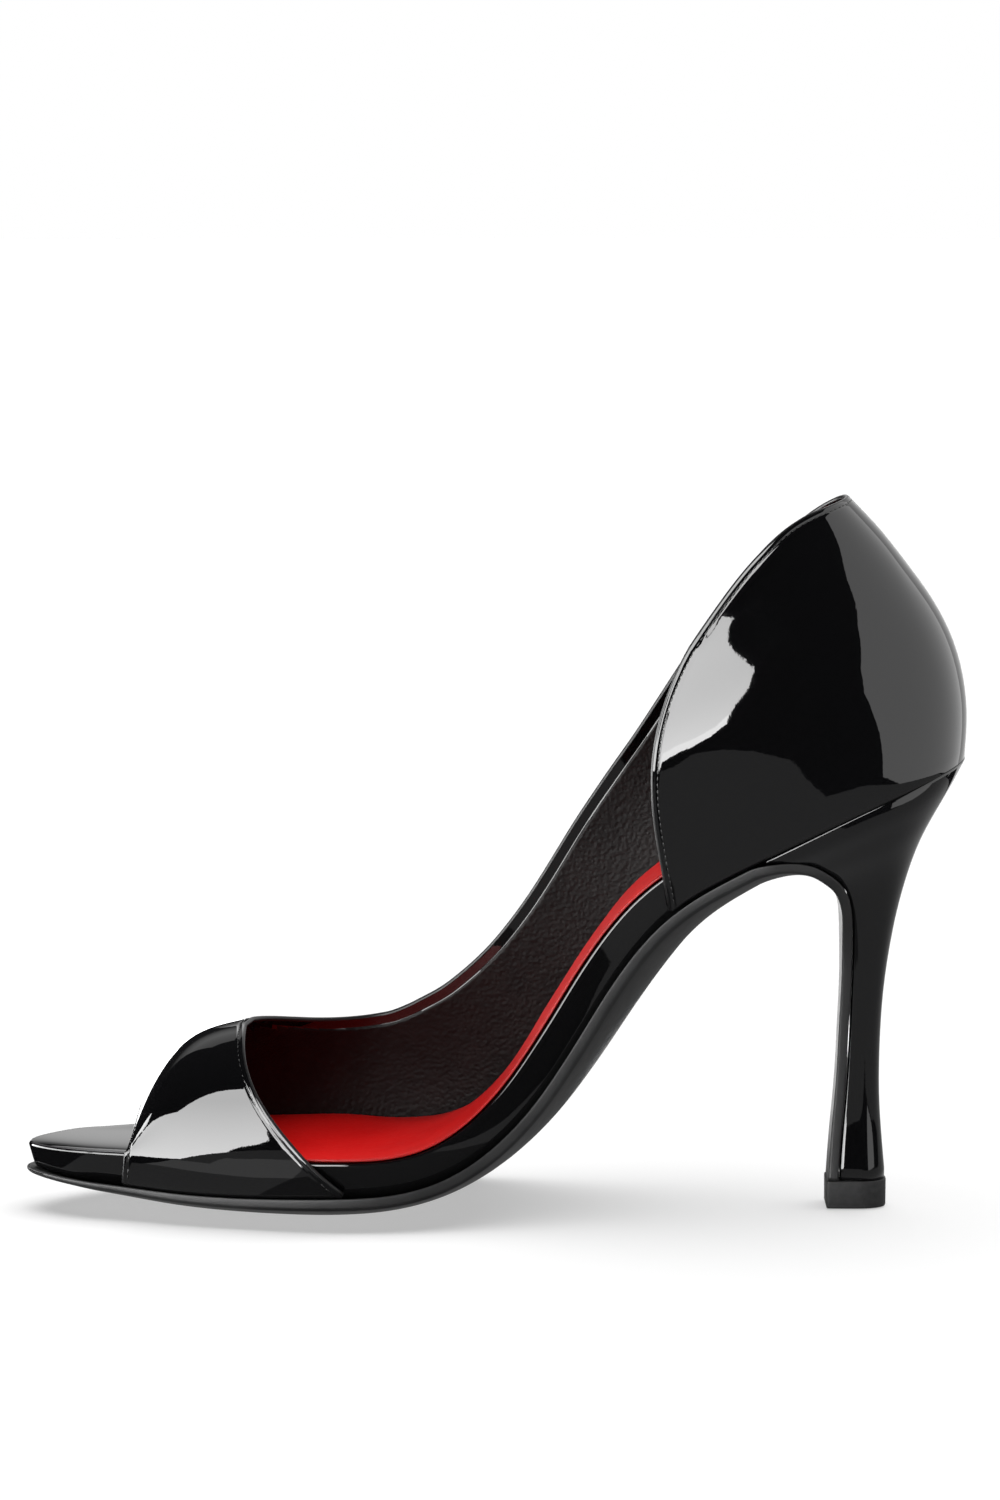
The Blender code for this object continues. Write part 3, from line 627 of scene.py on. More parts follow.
def rib_point(side, step, angle):
    """Outside of the last at an angle of the rib."""
    along, across = outline(side, step)
    up = rise_of(side, along, angle)
    reach = np.abs(across - RIDGE_ACROSS) * (1 - ease(*COUNTER_BLEND, along))
    narrow = np.clip(np.cos(np.maximum(angle, 0.0)), 0.0, 1.0) ** SQUARE - 1
    out = swell(step, up) + reach * narrow
    aside = outward(side, step)
    round_back = np.asarray(step) > 2
    forward = np.where(round_back, aside[0], 0.0)
    sideways = np.where(round_back, aside[1], side)
    return bend(along + forward * out, across + sideways * out, lift(side, along) + up)


def outer_share(along, across):
    """0 on the inner half of the insole, 1 on the outer half, with a soft change between them."""
    return ease(-SIDE_CHANGE, SIDE_CHANGE, across - middle_and_half(along)[0])


def bottom_up(along, across):
    """Underside of the insole board over its width."""
    share = edge_share(along, across)
    rise = mix(lift(-1, along), lift(1, along), outer_share(along, across))
    return -board(along) + rise * share - belly(along) * (1 - share)


def top_up(along, across):
    """Top of the insole board over its width."""
    rise = mix(lift(-1, along) + roll(along), lift(1, along), outer_share(along, across))
    share = edge_share(along, across)
    return rise * share - hollow(along) * np.maximum(1 - share, 0.0)


def board_offset(step, share):
    """Edge of the board at a share of its thickness, 0 at the top."""
    along = outline(1, step)[0]
    inset = WALL + GAP + BACK_CLEAR * np.sin(np.clip(step - 2, 0.0, 1.0) * math.pi / 2) ** 2
    inset = mix(TIP_INSET, inset, ease(*TIP_BLEND, along))
    return swell(step, -board(along) * share) - inset - 2 * GAP * share


def sock_offset(step, share):
    return board_offset(step, 0.0) - GAP


def outsole_offset(step, share):
    along = outline(1, step)[0]
    reach = mix(OUTSOLE_TIP, OUTSOLE_EDGE, ease(*TIP_BLEND, along))
    return mix(reach, 0.0, ease(*WELT_BLEND, along)) - TUCK


def outsole_top(along, across):
    return bottom_up(along, across) - GAP


def outsole_bottom(along, across):
    return bottom_up(along, across) - GAP - sole(along)


def sock_bottom(along, across):
    return top_up(along, across) + SOCK_CLEAR


def sock_top(along, across):
    return top_up(along, across) + SOCK_CLEAR + SOCK


def frame_shift():
    """Move from the layout to the frame, from the solid board's toe tip and the solid top piece."""
    tips = []
    for side in (-1, 1):
        for share in (0, 0.5, 1):
            place = edge(side, SOLID_BOARD_TIP, board_offset(SOLID_BOARD_TIP, share))
            tips.append(bend(*place, mix(top_up(*place), bottom_up(*place), share))[0])
    tip_low, tip_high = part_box("top_piece")
    return np.array([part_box("insole_board")[0].x / MM - min(tips), (tip_low.y + tip_high.y) / 2 / MM, 0.0])


SHIFT = frame_shift()


def added(name, data):
    """New object of the scene."""
    thing = bpy.data.objects.new(name, data)
    bpy.context.scene.collection.objects.link(thing)
    return thing


def piece(name, points, faces, looks, slot, nodes=(), face_looks=None):
    """Object from points of the layout in millimetres, riding on the shoe and standing for its solids."""
    mesh = bpy.data.meshes.new(name)
    mesh.from_pydata(((np.asarray(points) + SHIFT) * MM).tolist(), [], faces)
    for look in looks:
        mesh.materials.append(look)
    if face_looks is not None:
        mesh.polygons.foreach_set("material_index", face_looks)
    made = bmesh.new()
    made.from_mesh(mesh)
    bmesh.ops.recalc_face_normals(made, faces=made.faces)
    made.to_mesh(mesh)
    made.free()
    mesh.shade_smooth()
    thing = added(name, mesh)
    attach(thing, "root")
    if nodes:
        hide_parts(*nodes)


# Upper


def lengths_of(points):
    return np.concatenate(([0.0], np.cumsum(np.linalg.norm(np.diff(points, axis=0), axis=1))))


def at_lengths(rows, lengths, places):
    """Rows of values read off at places along a path, from the lengths at which they are given."""
    return np.stack([np.interp(places, lengths, rows[:, k]) for k in range(3)], axis=1)


def spaced(line, first, last, body_count, fine_start=False):
    """Places along a line, close together near its folded end and near its start if that is folded too."""
    dense = np.linspace(first, last, DENSE_COUNT)
    lengths = lengths_of(line(dense))
    total = lengths[-1]
    fine = np.arange(0.0, FOLD_BAND, FOLD_STEP)
    start = fine if fine_start else fine[:1]
    end = total - fine[::-1]
    body = np.linspace(start[-1], end[0], body_count + 1)[1:-1]
    return np.interp(np.concatenate((start, body, end)), lengths, dense)


def wall_line(side, step_foot, step_top):
    """Rib of the side wall as a function of its angle, and the angle of its top."""
    along_top = outline(side, step_top)[0]
    height = (topline_inner if side < 0 else topline_outer)(along_top) - lift(side, along_top)
    top = math.asin(min(float(height / (ridge(along_top) - lift(side, along_top))), 1.0) ** (1 / SQUARE))

    def line(angle):
        share = (rise_of(side, along_top, angle) + board(along_top)) / (height + board(along_top))
        share = np.maximum(share, 0.0)
        place = share ** COUNTER_SWEEP + COUNTER_BOW * share * (1 - share)
        return rib_point(side, mix(step_foot, step_top, place), angle)

    return line, top


def vamp_line(side, angle):
    """Line along the vamp at one angle of the girth, from the throat to the open toe."""
    rise = math.sin(angle) ** SQUARE if angle > 0 else LOW_RISE * angle / LOW_ANGLE
    fall = (1 - rise) / (1 - LOW_RISE)
    rear = THROAT + (THROAT_RUN * fall ** THROAT_SWEEP if side < 0 else 0.0)
    front = mix(PEEP_OUTER if side > 0 else PEEP_INNER, PEEP_TOP, (1 - fall) ** PEEP_SWEEP)

    def line(share):
        return rib_point(side, step_at(mix(rear, front, share)), angle)

    return line


def wall_grid():
    """Ribs round the heel and along the outer side, each from the sole edge to the topline."""
    run = HEEL_START - COUNTER_FOOT
    fine = np.arange(0.0, FOLD_BAND, FOLD_STEP) / run
    shares = np.concatenate((fine, np.linspace(fine[-1], 1.0, COUNTER_BODY + 1)[1:-1]))
    stops = [(-1, step_at(COUNTER_FOOT + run * share),
              step_at(mix(COUNTER_TOP, HEEL_START, share))) for share in shares]
    stops += [(-1, 2 + i / FAN_COUNT, 2 + i / FAN_COUNT) for i in range(FAN_COUNT)]
    stops += [(1, 3 - i / FAN_COUNT, 3 - i / FAN_COUNT) for i in range(FAN_COUNT)]
    for i in range(OUTER_COUNT):
        step = step_at(mix(HEEL_START, THROAT, i / OUTER_COUNT))
        stops.append((1, step, step))
    ribs = []
    for side, foot, top_step in stops:
        line, top = wall_line(side, foot, top_step)
        ribs.append(line(spaced(line, LOW_ANGLE, top, RIB_BODY)))
    return np.array(ribs)


def vamp_grid():
    """Lines along the vamp, from the outer sole edge over the ridge to the inner sole edge."""
    step = step_at(THROAT)
    half = spaced(lambda angle: rib_point(1, step, angle), LOW_ANGLE, math.pi / 2, RIB_BODY)
    columns = [(1, angle) for angle in half] + [(-1, angle) for angle in half[-2::-1]]
    lines = []
    for side, angle in columns:
        line = vamp_line(side, angle)
        lines.append(line(spaced(line, 0.0, 1.0, VAMP_BODY, fine_start=True)))
    return np.array(lines)


def grid_faces(index):
    rows, columns = index.shape
    return [(index[r, c], index[r + 1, c], index[r + 1, c + 1], index[r, c + 1])
            for r in range(rows - 1) for c in range(columns - 1)]


def tube_faces(index):
    return grid_faces(np.hstack((index, index[:, :1])))


def skin_normals(points, faces, inside_point):
    """Vertex normals of an open skin, turned away from a point inside it."""
    mesh = bpy.data.meshes.new("skin")
    mesh.from_pydata(points.tolist(), [], faces)
    normals = np.zeros(len(points) * 3, np.float32)
    mesh.vertex_normals.foreach_get("vector", normals)
    bpy.data.meshes.remove(mesh)
    normals = normals.reshape(-1, 3).astype(float)
    near = np.argmin(np.linalg.norm(points - inside_point, axis=1))
    return normals if normals[near] @ (points[near] - inside_point) > 0 else -normals


def distance_to(path, points):
    """Distance of each point from a path of close points."""
    tree = KDTree(len(path))
    for i, place in enumerate(path):
        tree.insert(place, i)
    tree.balance()
    return np.array([tree.find(point)[2] for point in points])


def refined(path):
    lengths = lengths_of(path)
    return at_lengths(path, lengths, np.arange(0.0, lengths[-1], EDGE_SPACING))


def upper_skin():
    """Outside of the upper, its rim as one closed loop of points, and the distance from its free edges."""
    wall = wall_grid()
    vamp = vamp_grid()
    ribs, size = wall.shape[:2]
    lines, run = vamp.shape[:2]
    points = np.concatenate((wall.reshape(-1, 3), vamp.reshape(-1, 3)))
    wall_index = np.arange(ribs * size).reshape(ribs, size)
    vamp_index = ribs * size + np.arange(lines * run).reshape(lines, run)
    joined = np.vstack((wall_index, vamp_index[:size, 0]))
    faces = grid_faces(joined) + grid_faces(vamp_index.T)

    free = np.concatenate((wall_index[0], wall_index[1:, -1], vamp_index[size - 1:, 0]))
    peep = vamp_index[::-1, -1]
    inner_sole = vamp_index[-1, 1:-1]
    outer_sole = np.concatenate((vamp_index[0, -2::-1], wall_index[:0:-1, 0]))
    loop = np.concatenate((free, inner_sole, peep, outer_sole))
    on_sole = np.concatenate((np.zeros(len(free)), np.ones(len(inner_sole)),
                              np.zeros(len(peep)), np.ones(len(outer_sole))))
    edges = np.concatenate((refined(points[free]), refined(points[peep])))
    return points, faces, loop, on_sole, distance_to(edges, points)


def dents(points):
    """Depth of the soft troughs at points of the upper's skin."""
    x, y, z = (points + SHIFT).T
    depth = np.zeros(len(points))
    for place_x, place_z, reach_x, reach_z, deep in DENT_ROWS:
        depth += deep * np.exp(-((x - place_x) / reach_x) ** 2 - ((z - place_z) / reach_z) ** 2)
    return depth * ease(0.0, DENT_FULL, y)


def shell(points, normals, faces, loop, on_sole, away):
    """Closed wall: outside with its folded edge, inside with its lining, and a round rim between them."""
    groove = STITCH_GROOVE * np.exp(-((away - STITCH_IN) / STITCH_GROOVE_HALF) ** 2)
    pad = FOLD_RISE * ease(*FOLD_RISE_RUN, away) * (1 - ease(FOLD_FALL_START, STITCH_IN, away))
    outside = points + normals * (pad - groove - dents(points))[:, None]
    wall = mix(FOLD_WALL, WALL, ease(*FOLD_INSIDE, away))
    inside = points - normals * wall[:, None]

    tangent = unit(np.roll(points[loop], -1, axis=0) - np.roll(points[loop], 1, axis=0))
    aside = unit(np.cross(tangent, normals[loop]))
    middle = (outside[loop] + inside[loop]) / 2
    half = (outside[loop] - inside[loop]) / 2
    top = np.argmax(points[loop, 2])
    if aside[top, 2] < 0:
        aside = -aside
    reach = mix(RIM_ROUND, SOLE_RIM_ROUND, on_sole)[:, None]
    count = len(points)
    all_points = [outside, inside]
    rings = [loop]
    for k in range(1, RIM_STEPS):
        turn = math.pi * k / RIM_STEPS
        rings.append(2 * count + (k - 1) * len(loop) + np.arange(len(loop)))
        all_points.append(middle + half * math.cos(turn) + aside * reach * math.sin(turn))
    rings.append(loop + count)
    rim_faces = []
    for first, second in zip(rings[:-1], rings[1:]):
        for i in range(len(loop)):
            j = (i + 1) % len(loop)
            rim_faces.append((first[i], first[j], second[j], second[i]))
    inner_faces = [tuple(count + i for i in reversed(face)) for face in faces]
    lined = [int(min(away[i] for i in face) > FOLD_INSIDE[0]) for face in faces]
    face_looks = [0] * len(faces) + lined + [2] * len(rim_faces)
    return np.concatenate(all_points), faces + inner_faces + rim_faces, face_looks


def contour(faces, values, level):
    """Chains of edge crossings where a value given at the points passes a level."""
    links = {}
    for face in faces:
        crossed = []
        for first, second in zip(face, face[1:] + face[:1]):
            if (values[first] < level) != (values[second] < level):
                crossed.append((min(first, second), max(first, second)))
        if len(crossed) == 2:
            links.setdefault(crossed[0], []).append(crossed[1])
            links.setdefault(crossed[1], []).append(crossed[0])
    chains = []
    while links:
        start = next((key for key, others in links.items() if len(others) == 1), next(iter(links)))
        chain = [start]
        while True:
            following = [key for key in links.get(chain[-1], ()) if key in links and key not in chain[-2:]]
            del links[chain[-1]]
            if not following:
                break
            chain.append(following[0])
        chains.append(chain)
    return chains


def stitch_rows(points, normals, faces, away):
    """Middle, direction and normal of every stitch along the folded edges."""
    places, directions, outs = [], [], []
    for chain in contour(faces, away, STITCH_IN):
        low, high = np.array(chain).T
        share = ((STITCH_IN - away[low]) / (away[high] - away[low]))[:, None]
        path = mix(points[low], points[high], share)
        lengths = lengths_of(path)
        if lengths[-1] < SHORTEST_ROW:
            continue
        window = np.ones(STITCH_SMOOTHING) / STITCH_SMOOTHING
        end = STITCH_SMOOTHING // 2
        path[end:-end] = np.stack([np.convolve(path[:, k], window, "valid") for k in range(3)], axis=1)
        lengths = lengths_of(path)
        normal = unit(mix(normals[low], normals[high], share))
        middles = np.arange(STITCH_PITCH, lengths[-1] - STITCH_PITCH / 2, STITCH_PITCH)
        ahead = at_lengths(path, lengths, middles + STITCH_AIM)
        behind = at_lengths(path, lengths, middles - STITCH_AIM)
        places.append(at_lengths(path, lengths, middles))
        directions.append(unit(ahead - behind))
        outs.append(unit(at_lengths(normal, lengths, middles)))
    return np.concatenate(places), np.concatenate(directions), np.concatenate(outs)


def stitch_mesh(places, directions, outs, rings=7, sides=8):
    """One small spindle of thread for every stitch."""
    aside = np.cross(directions, outs)
    turn = np.linspace(0, math.pi, rings)
    run = -np.cos(turn) * STITCH_LENGTH / 2
    thick = np.sin(turn) ** STITCH_TAPER * STITCH_THICK / 2
    thick[[0, -1]] = STITCH_END
    around = np.arange(sides) / sides * 2 * math.pi
    height = -STITCH_GROOVE + STITCH_THICK * STITCH_STAND
    one = []
    for r in range(rings):
        for angle in around:
            one.append((run[r], thick[r] * math.cos(angle), thick[r] * math.sin(angle) + height))
    one = np.array(one)
    points = (places[:, None] + directions[:, None] * one[None, :, 0:1] + aside[:, None] * one[None, :, 1:2]
              + outs[:, None] * one[None, :, 2:3])
    index = np.arange(rings * sides).reshape(rings, sides)
    single = tube_faces(index) + [tuple(index[0]), tuple(index[-1])]
    faces = [tuple(n * len(one) + i for i in face) for n in range(len(places)) for face in single]
    return points.reshape(-1, 3), faces


def make_upper(looks):
    points, faces, loop, on_sole, away = upper_skin()
    normals = skin_normals(points, faces, bend(*INSIDE_PLACE))
    shell_points, shell_faces, face_looks = shell(points, normals, faces, loop, on_sole, away)
    piece("upper_patent", shell_points, shell_faces, (looks["patent"], looks["lining"], looks["edge"]),
          "patent_leather", ("upper",), face_looks)
    rows = stitch_rows(points, normals, faces, away)
    piece("edge_stitching", *stitch_mesh(*rows), (looks["thread"],), "patent_leather")


# Plates of the bottom


def edge_profile(thickness, fillets, count):
    """Shares of the thickness down an edge and the inset of each, with a round top and bottom corner."""
    top, bottom = fillets
    turn = np.linspace(0, math.pi / 2, count)
    down = np.concatenate((top * (1 - np.cos(turn)), thickness - bottom * (1 - np.cos(turn[::-1]))))
    inset = np.concatenate((top * (1 - np.sin(turn)), bottom * (1 - np.sin(turn[::-1]))))
    return down / thickness, inset


def plate(steps, offset, surfaces, fillets, across_count, corner_count, dent=None):
    """Plate between two surfaces with rounded edges, as rings from one end to the other."""
    rings = []
    for step in steps:
        along_middle, across_middle = outline(1, step)
        thickness = float(surfaces[0](along_middle, across_middle) - surfaces[1](along_middle, across_middle))
        shares, inset = edge_profile(thickness, fillets, corner_count)
        sides = {}
        for side in (-1, 1):
            offsets = offset(step, shares) - inset
            if dent is not None and side < 0:
                offsets = offsets - dent(along_middle) * np.sin(shares * math.pi)
            along, across = edge(side, step, offsets)
            up = mix(surfaces[0](along, across), surfaces[1](along, across), shares)
            sides[side] = (along, across, up)
        ring = []
        share = np.linspace(0, 1, across_count + 1)[1:-1]
        for place, start, end, surface in ((0, -1, 1, surfaces[0]), (-1, 1, -1, surfaces[1])):
            along = mix(sides[start][0][place], sides[end][0][place], share)
            across = mix(sides[start][1][place], sides[end][1][place], share)
            ring.append(bend(along, across, surface(along, across)))
            ring.append(bend(*[values[::end] for values in sides[end]]))
        rings.append(np.concatenate(ring))
    return np.array(rings)


def breast_rings(seat_back):
    """Rings of the outsole down the front of the heel, with their points in the order of a plate's rings."""
    spread = np.arange(len(BREAST_ROWS), dtype=float)
    path = spline(spread, np.array(BREAST_ROWS)[:, :2])
    across_count, corner_count = OUTSOLE_COUNTS
    shares, inset = edge_profile(BREAST_SOLE, BREAST_FILLETS, corner_count)
    flat = np.linspace(1, -1, across_count + 1)[1:-1]
    rings = []
    for place, (ahead, z, half, inner, outer) in zip(spread, BREAST_ROWS):
        back, rise = path(place + BREAST_STEP) - path(place - BREAST_STEP)
        rear = np.array((-rise, 0.0, -back)) / math.hypot(back, rise)
        across = np.concatenate((-flat * (half - inset[0]), half - inset,
                                 flat * (half - inset[-1]), inset[::-1] - half))
        depth = np.concatenate((np.ones_like(flat), 1 - shares, np.zeros_like(flat), 1 - shares[::-1]))
        curl = np.where(across > 0, outer, inner) * (across / half) ** 2
        middle = np.array((seat_back[0] - ahead, 0.0, z))
        off = BREAST_SOLE * depth + curl
        rings.append(middle + off[:, None] * rear + across[:, None] * np.array((0.0, 1.0, 0.0)))
    return np.array(rings)


def outsole_rings(seat_back):
    """Outsole from the toe to the waist, then bent down the front of the heel to its tip."""
    rest = (outsole_offset, (outsole_top, outsole_bottom), OUTSOLE_FILLETS, *OUTSOLE_COUNTS)
    rings = plate(steps_between(PLATE_FRONT, step_at(BREAST), PLATE_SPACING), *rest)
    lead = plate([step_at(BREAST - back) for back in BREAST_LEAD], *rest)
    knots = np.concatenate((lead, breast_rings(seat_back)))
    lengths = lengths_of(knots.mean(axis=1))
    curve = spline(lengths, knots)
    places = np.arange(lengths[len(lead) - 1] + BREAST_SPACING, lengths[-1], BREAST_SPACING)
    return np.concatenate((rings, [curve(place) for place in places], knots[-1:]))


def ring_mesh(rings):
    """Closed mesh from equal rings, with a flat cap at both ends."""
    count, size = rings.shape[:2]
    index = np.arange(count * size).reshape(count, size)
    faces = tube_faces(index) + [tuple(index[0, ::-1]), tuple(index[-1])]
    return rings.reshape(-1, 3), faces


def steps_between(first, last, spacing):
    """Edge steps from first to last, close together round the toe and the heel."""
    stops = [first] + [stop for stop in (1.0, 2.0) if first < stop < last] + [last]
    sizes = (TOE_ROUND * TOE_CLOSER, HEEL_START - TOE_ROUND, HEEL_ROUND * HEEL_CLOSER)
    steps = []
    for start, end in zip(stops[:-1], stops[1:]):
        count = max(2, round((end - start) * sizes[int(start)] / spacing))
        steps.extend(mix(start, end, i / count) for i in range(count))
    return steps + [last]


def rand_dent(along):
    return RAND_SEAM_DEPTH * math.exp(-((float(along) - RAND_SEAM) / RAND_SEAM_HALF) ** 2)


def make_board(looks):
    steps = steps_between(PLATE_FRONT, BOARD_BACK, PLATE_SPACING)
    rings = plate(steps, board_offset, (top_up, bottom_up), BOARD_FILLETS, *BOARD_COUNTS, rand_dent)
    piece("insole_rand", *ring_mesh(rings), (looks["rand"],), "wrapped_board", ("insole_board",))


def make_sock(looks):
    steps = steps_between(step_at(SOCK_FRONT), SOCK_BACK, SOCK_SPACING)
    rings = plate(steps, sock_offset, (sock_top, sock_bottom), SOCK_FILLETS, *SOCK_COUNTS)
    piece("red_sock", *ring_mesh(rings), (looks["sock"],), "red_leather", ("sock_lining",))


def make_outsole(looks):
    seat_back = seat_rim()[-1]
    points, faces = ring_mesh(outsole_rings(seat_back))
    points[:, 2] = np.maximum(points[:, 2], 0.0)
    piece("leather_outsole", points, faces, (looks["outsole"],), "sole_leather", ("outsole",))


# Heel


def seat_rim():
    """Closed rim of the heel's seat from the middle of the breast round by the outer side.

    With each point go its share of the way from the front to the back and its place across from -1 to 1, and
    with them all the middle of the seat's back.
    """
    front_count, side_count, back_count = SEAT_COUNTS
    front_step = step_at(HEEL_FRONT)
    along_sides = np.linspace(front_step, 2.0, side_count)[:-1]
    steps = np.concatenate((along_sides, np.linspace(2.0, SEAT_BACK, back_count)))

    def across_row(step, shares):
        low = -board(outline(1, step)[0])
        inside, outside = [edge(side, step, swell(step, low)) for side in (-1, 1)]
        along = mix(inside[0], outside[0], shares)
        across = mix(inside[1], outside[1], shares)
        return bend(along, across, bottom_up(along, across) - GAP)

    front_right = across_row(front_step, np.linspace(0.5, 1.0, front_count)[:-1])
    right = np.array([across_row(step, np.array([1.0]))[0] for step in steps])
    back = across_row(steps[-1], np.linspace(1.0, 0.0, SEAT_ACROSS)[1:-1])
    left = np.array([across_row(step, np.array([0.0]))[0] for step in steps[::-1]])
    front_left = across_row(front_step, np.linspace(0.0, 0.5, front_count)[1:-1])
    rim = np.concatenate((front_right, right, back, left, front_left))
    seat_back = across_row(steps[-1], np.array([0.5]))[0]
    share = (rim[:, 0] - rim[0, 0]) / (seat_back[0] - rim[0, 0])
    share[:len(front_right) + 1] = 0.0
    share[len(rim) - len(front_left) - 1:] = 0.0
    return rim, share, rim[:, 1] / rim[:, 1].max(), seat_back


def rounded_ring(ring):
    """Ring of the heel at even spacing, with its corners rounded."""
    closed = np.vstack((ring, ring[:1]))
    lengths = lengths_of(closed)
    places = np.arange(HEEL_RING) / HEEL_RING * lengths[-1]
    even = at_lengths(closed, lengths, places)
    gap = lengths[-1] / HEEL_RING
    reach = int(math.ceil(3 * HEEL_ROUNDING / gap))
    shifts = np.arange(-reach, reach + 1)
    weights = np.exp(-0.5 * (shifts * gap / HEEL_ROUNDING) ** 2)
    weights /= weights.sum()
    return sum(weight * np.roll(even, shift, axis=0) for weight, shift in zip(weights, shifts))


def make_heel(looks):
    rim, share, side, seat_back = seat_rim()
    levels = [rim]
    for front, front_z, back, back_z, half, inner, outer in HEEL_ROWS:
        curl = np.where(side > 0, outer, inner) * side * side
        z = mix(front_z + curl, back_z, share)
        levels.append(np.stack((seat_back[0] - mix(front, back, share), side * half, z), axis=1))
    path = spline(np.arange(len(levels), dtype=float), np.array(levels))
    rings = [rounded_ring(path(place)) for place in np.linspace(0.0, len(levels) - 1.0, HEEL_LEVELS)]
    foot = rings[-1].copy()
    foot[:, 2] = TOP_PIECE + GAP
    rings.append(foot)
    middle = rings[0].mean(axis=0)
    for inset, sink in HEEL_LIP:
        lip = rings[0] - unit(rings[0] - middle) * inset
        lip[:, 2] += HEEL_LIP_RISE - sink
        rings.insert(0, lip)
    piece("covered_heel", *ring_mesh(np.array(rings)), (looks["heel"],), "covered_heel", ("heel",))


def make_top_piece(looks):
    share, side, seat_back = seat_rim()[1:]
    back, half = HEEL_ROWS[-1][2], HEEL_ROWS[-1][4]
    x = seat_back[0] - mix(TIP_FRONT, back, share)
    foot = rounded_ring(np.stack((x, side * half, np.zeros_like(side)), axis=1))
    centre = foot.mean(axis=0)
    rings = []
    for scale, level in TIP_RINGS:
        ring = centre + (foot - centre) * scale
        ring[:, 2] = level
        rings.append(ring)
    piece("top_piece_tip", *ring_mesh(np.array(rings)), (looks["tip"],), "tip_rubber", ("top_piece",))


# Materials


def with_values(node, **values):
    """The same node with values on its sockets, whose names are written with underscores."""
    for socket, value in values.items():
        node.inputs[socket.replace("_", " ")].default_value = value
    return node


class Look:
    """A material with the nodes that give it its surface."""

    def __init__(self, name, **values):
        self.material = bpy.data.materials.new(name)
        self.material.use_nodes = True
        self.nodes = self.material.node_tree.nodes
        self.link = self.material.node_tree.links.new
        self.shader = with_values(self.nodes["Principled BSDF"], **values)
        self.coordinates = self.nodes.new("ShaderNodeTexCoord").outputs["Object"]

    def noise(self, scale, detail=2.0):
        node = with_values(self.nodes.new("ShaderNodeTexNoise"), Scale=scale, Detail=detail)
        self.link(self.coordinates, node.inputs["Vector"])
        return node.outputs["Fac"]

    def cells(self, scale):
        node = with_values(self.nodes.new("ShaderNodeTexVoronoi"), Scale=scale)
        node.feature = "SMOOTH_F1"
        self.link(self.coordinates, node.inputs["Vector"])
        return node.outputs["Distance"]

    def mottled(self, source, dark, light):
        """Base colour between a dark and a light tone."""
        node = self.nodes.new("ShaderNodeValToRGB")
        for element, place, colour in zip(node.color_ramp.elements, MOTTLE_STOPS, (dark, light)):
            element.position = place
            element.color = (*colour, 1.0)
        self.link(source, node.inputs["Fac"])
        self.link(node.outputs["Color"], self.shader.inputs["Base Color"])

    def rough(self, source, low, high):
        """Roughness between two values."""
        node = with_values(self.nodes.new("ShaderNodeMapRange"), To_Min=low, To_Max=high)
        self.link(source, node.inputs["Value"])
        self.link(node.outputs["Result"], self.shader.inputs["Roughness"])

    def bumps(self, *layers, coat=False):
        """Bump layers, each a source, its strength and its height in metres, one on top of the other."""
        under = None
        for source, strength, height in layers:
            node = with_values(self.nodes.new("ShaderNodeBump"), Strength=strength, Distance=height)
            self.link(source, node.inputs["Height"])
            if under is not None:
                self.link(under, node.inputs["Normal"])
            under = node.outputs["Normal"]
        self.link(under, self.shader.inputs["Normal"])
        if coat:
            self.link(under, self.shader.inputs["Coat Normal"])


def patent(name, base):
    look = Look(name, Base_Color=(*base, 1.0), Specular_IOR_Level=0.0, Coat_Weight=1.0, Coat_Roughness=0.02)
    look.rough(look.noise(240.0), 0.10, 0.20)
    look.bumps((look.noise(38.0, 1.0), 0.35, 0.0009), (look.noise(900.0), 0.05, 0.00005), coat=True)
    return look.material


def lining_leather():
    look = Look("lining_leather", Specular_IOR_Level=0.11)
    look.mottled(look.noise(120.0, 4.0), (0.0040, 0.0035, 0.0034), (0.0095, 0.0084, 0.0080))
    look.rough(look.noise(900.0, 3.0), 0.36, 0.62)
    look.bumps((look.cells(1100.0), 0.8, 0.0002), (look.noise(2600.0), 0.4, 0.00008))
    return look.material


def red_leather():
    look = Look("red_sock_leather", Specular_IOR_Level=0.22)
    look.mottled(look.noise(60.0, 3.0), (0.54, 0.004, 0.004), (0.64, 0.008, 0.007))
    look.rough(look.noise(500.0), 0.40, 0.52)
    look.bumps((look.cells(1500.0), 0.35, 0.0001), (look.noise(3000.0), 0.2, 0.00005))
    return look.material


def sole_leather():
    look = Look("sole_leather_dark", Specular_IOR_Level=0.3)
    look.mottled(look.noise(90.0, 4.0), (0.009, 0.009, 0.0095), (0.016, 0.016, 0.0165))
    look.rough(look.noise(300.0, 3.0), 0.42, 0.55)
    look.bumps((look.noise(1600.0, 3.0), 0.3, 0.00008))
    return look.material


def tip_rubber():
    look = Look("tip_rubber_dark", Specular_IOR_Level=0.2)
    look.mottled(look.noise(700.0, 3.0), (0.015, 0.015, 0.0155), (0.026, 0.026, 0.0265))
    look.rough(look.noise(900.0), 0.5, 0.65)
    look.bumps((look.noise(2400.0, 2.0), 0.3, 0.00008))
    return look.material


def painted_edge():
    """Black paint on the cut and turned edges of the leather, duller than the patent."""
    look = Look("painted_edge", Base_Color=(0.006, 0.006, 0.0065, 1.0), Specular_IOR_Level=0.3)
    look.rough(look.noise(600.0), 0.32, 0.45)
    look.bumps((look.noise(1800.0, 2.0), 0.3, 0.00006))
    return look.material


def thread():
    look = Look("stitch_thread", Base_Color=(0.012, 0.012, 0.012, 1.0), Roughness=0.35)
    look.bumps((look.noise(4000.0), 0.3, 0.00005))
    return look.material


# Stage


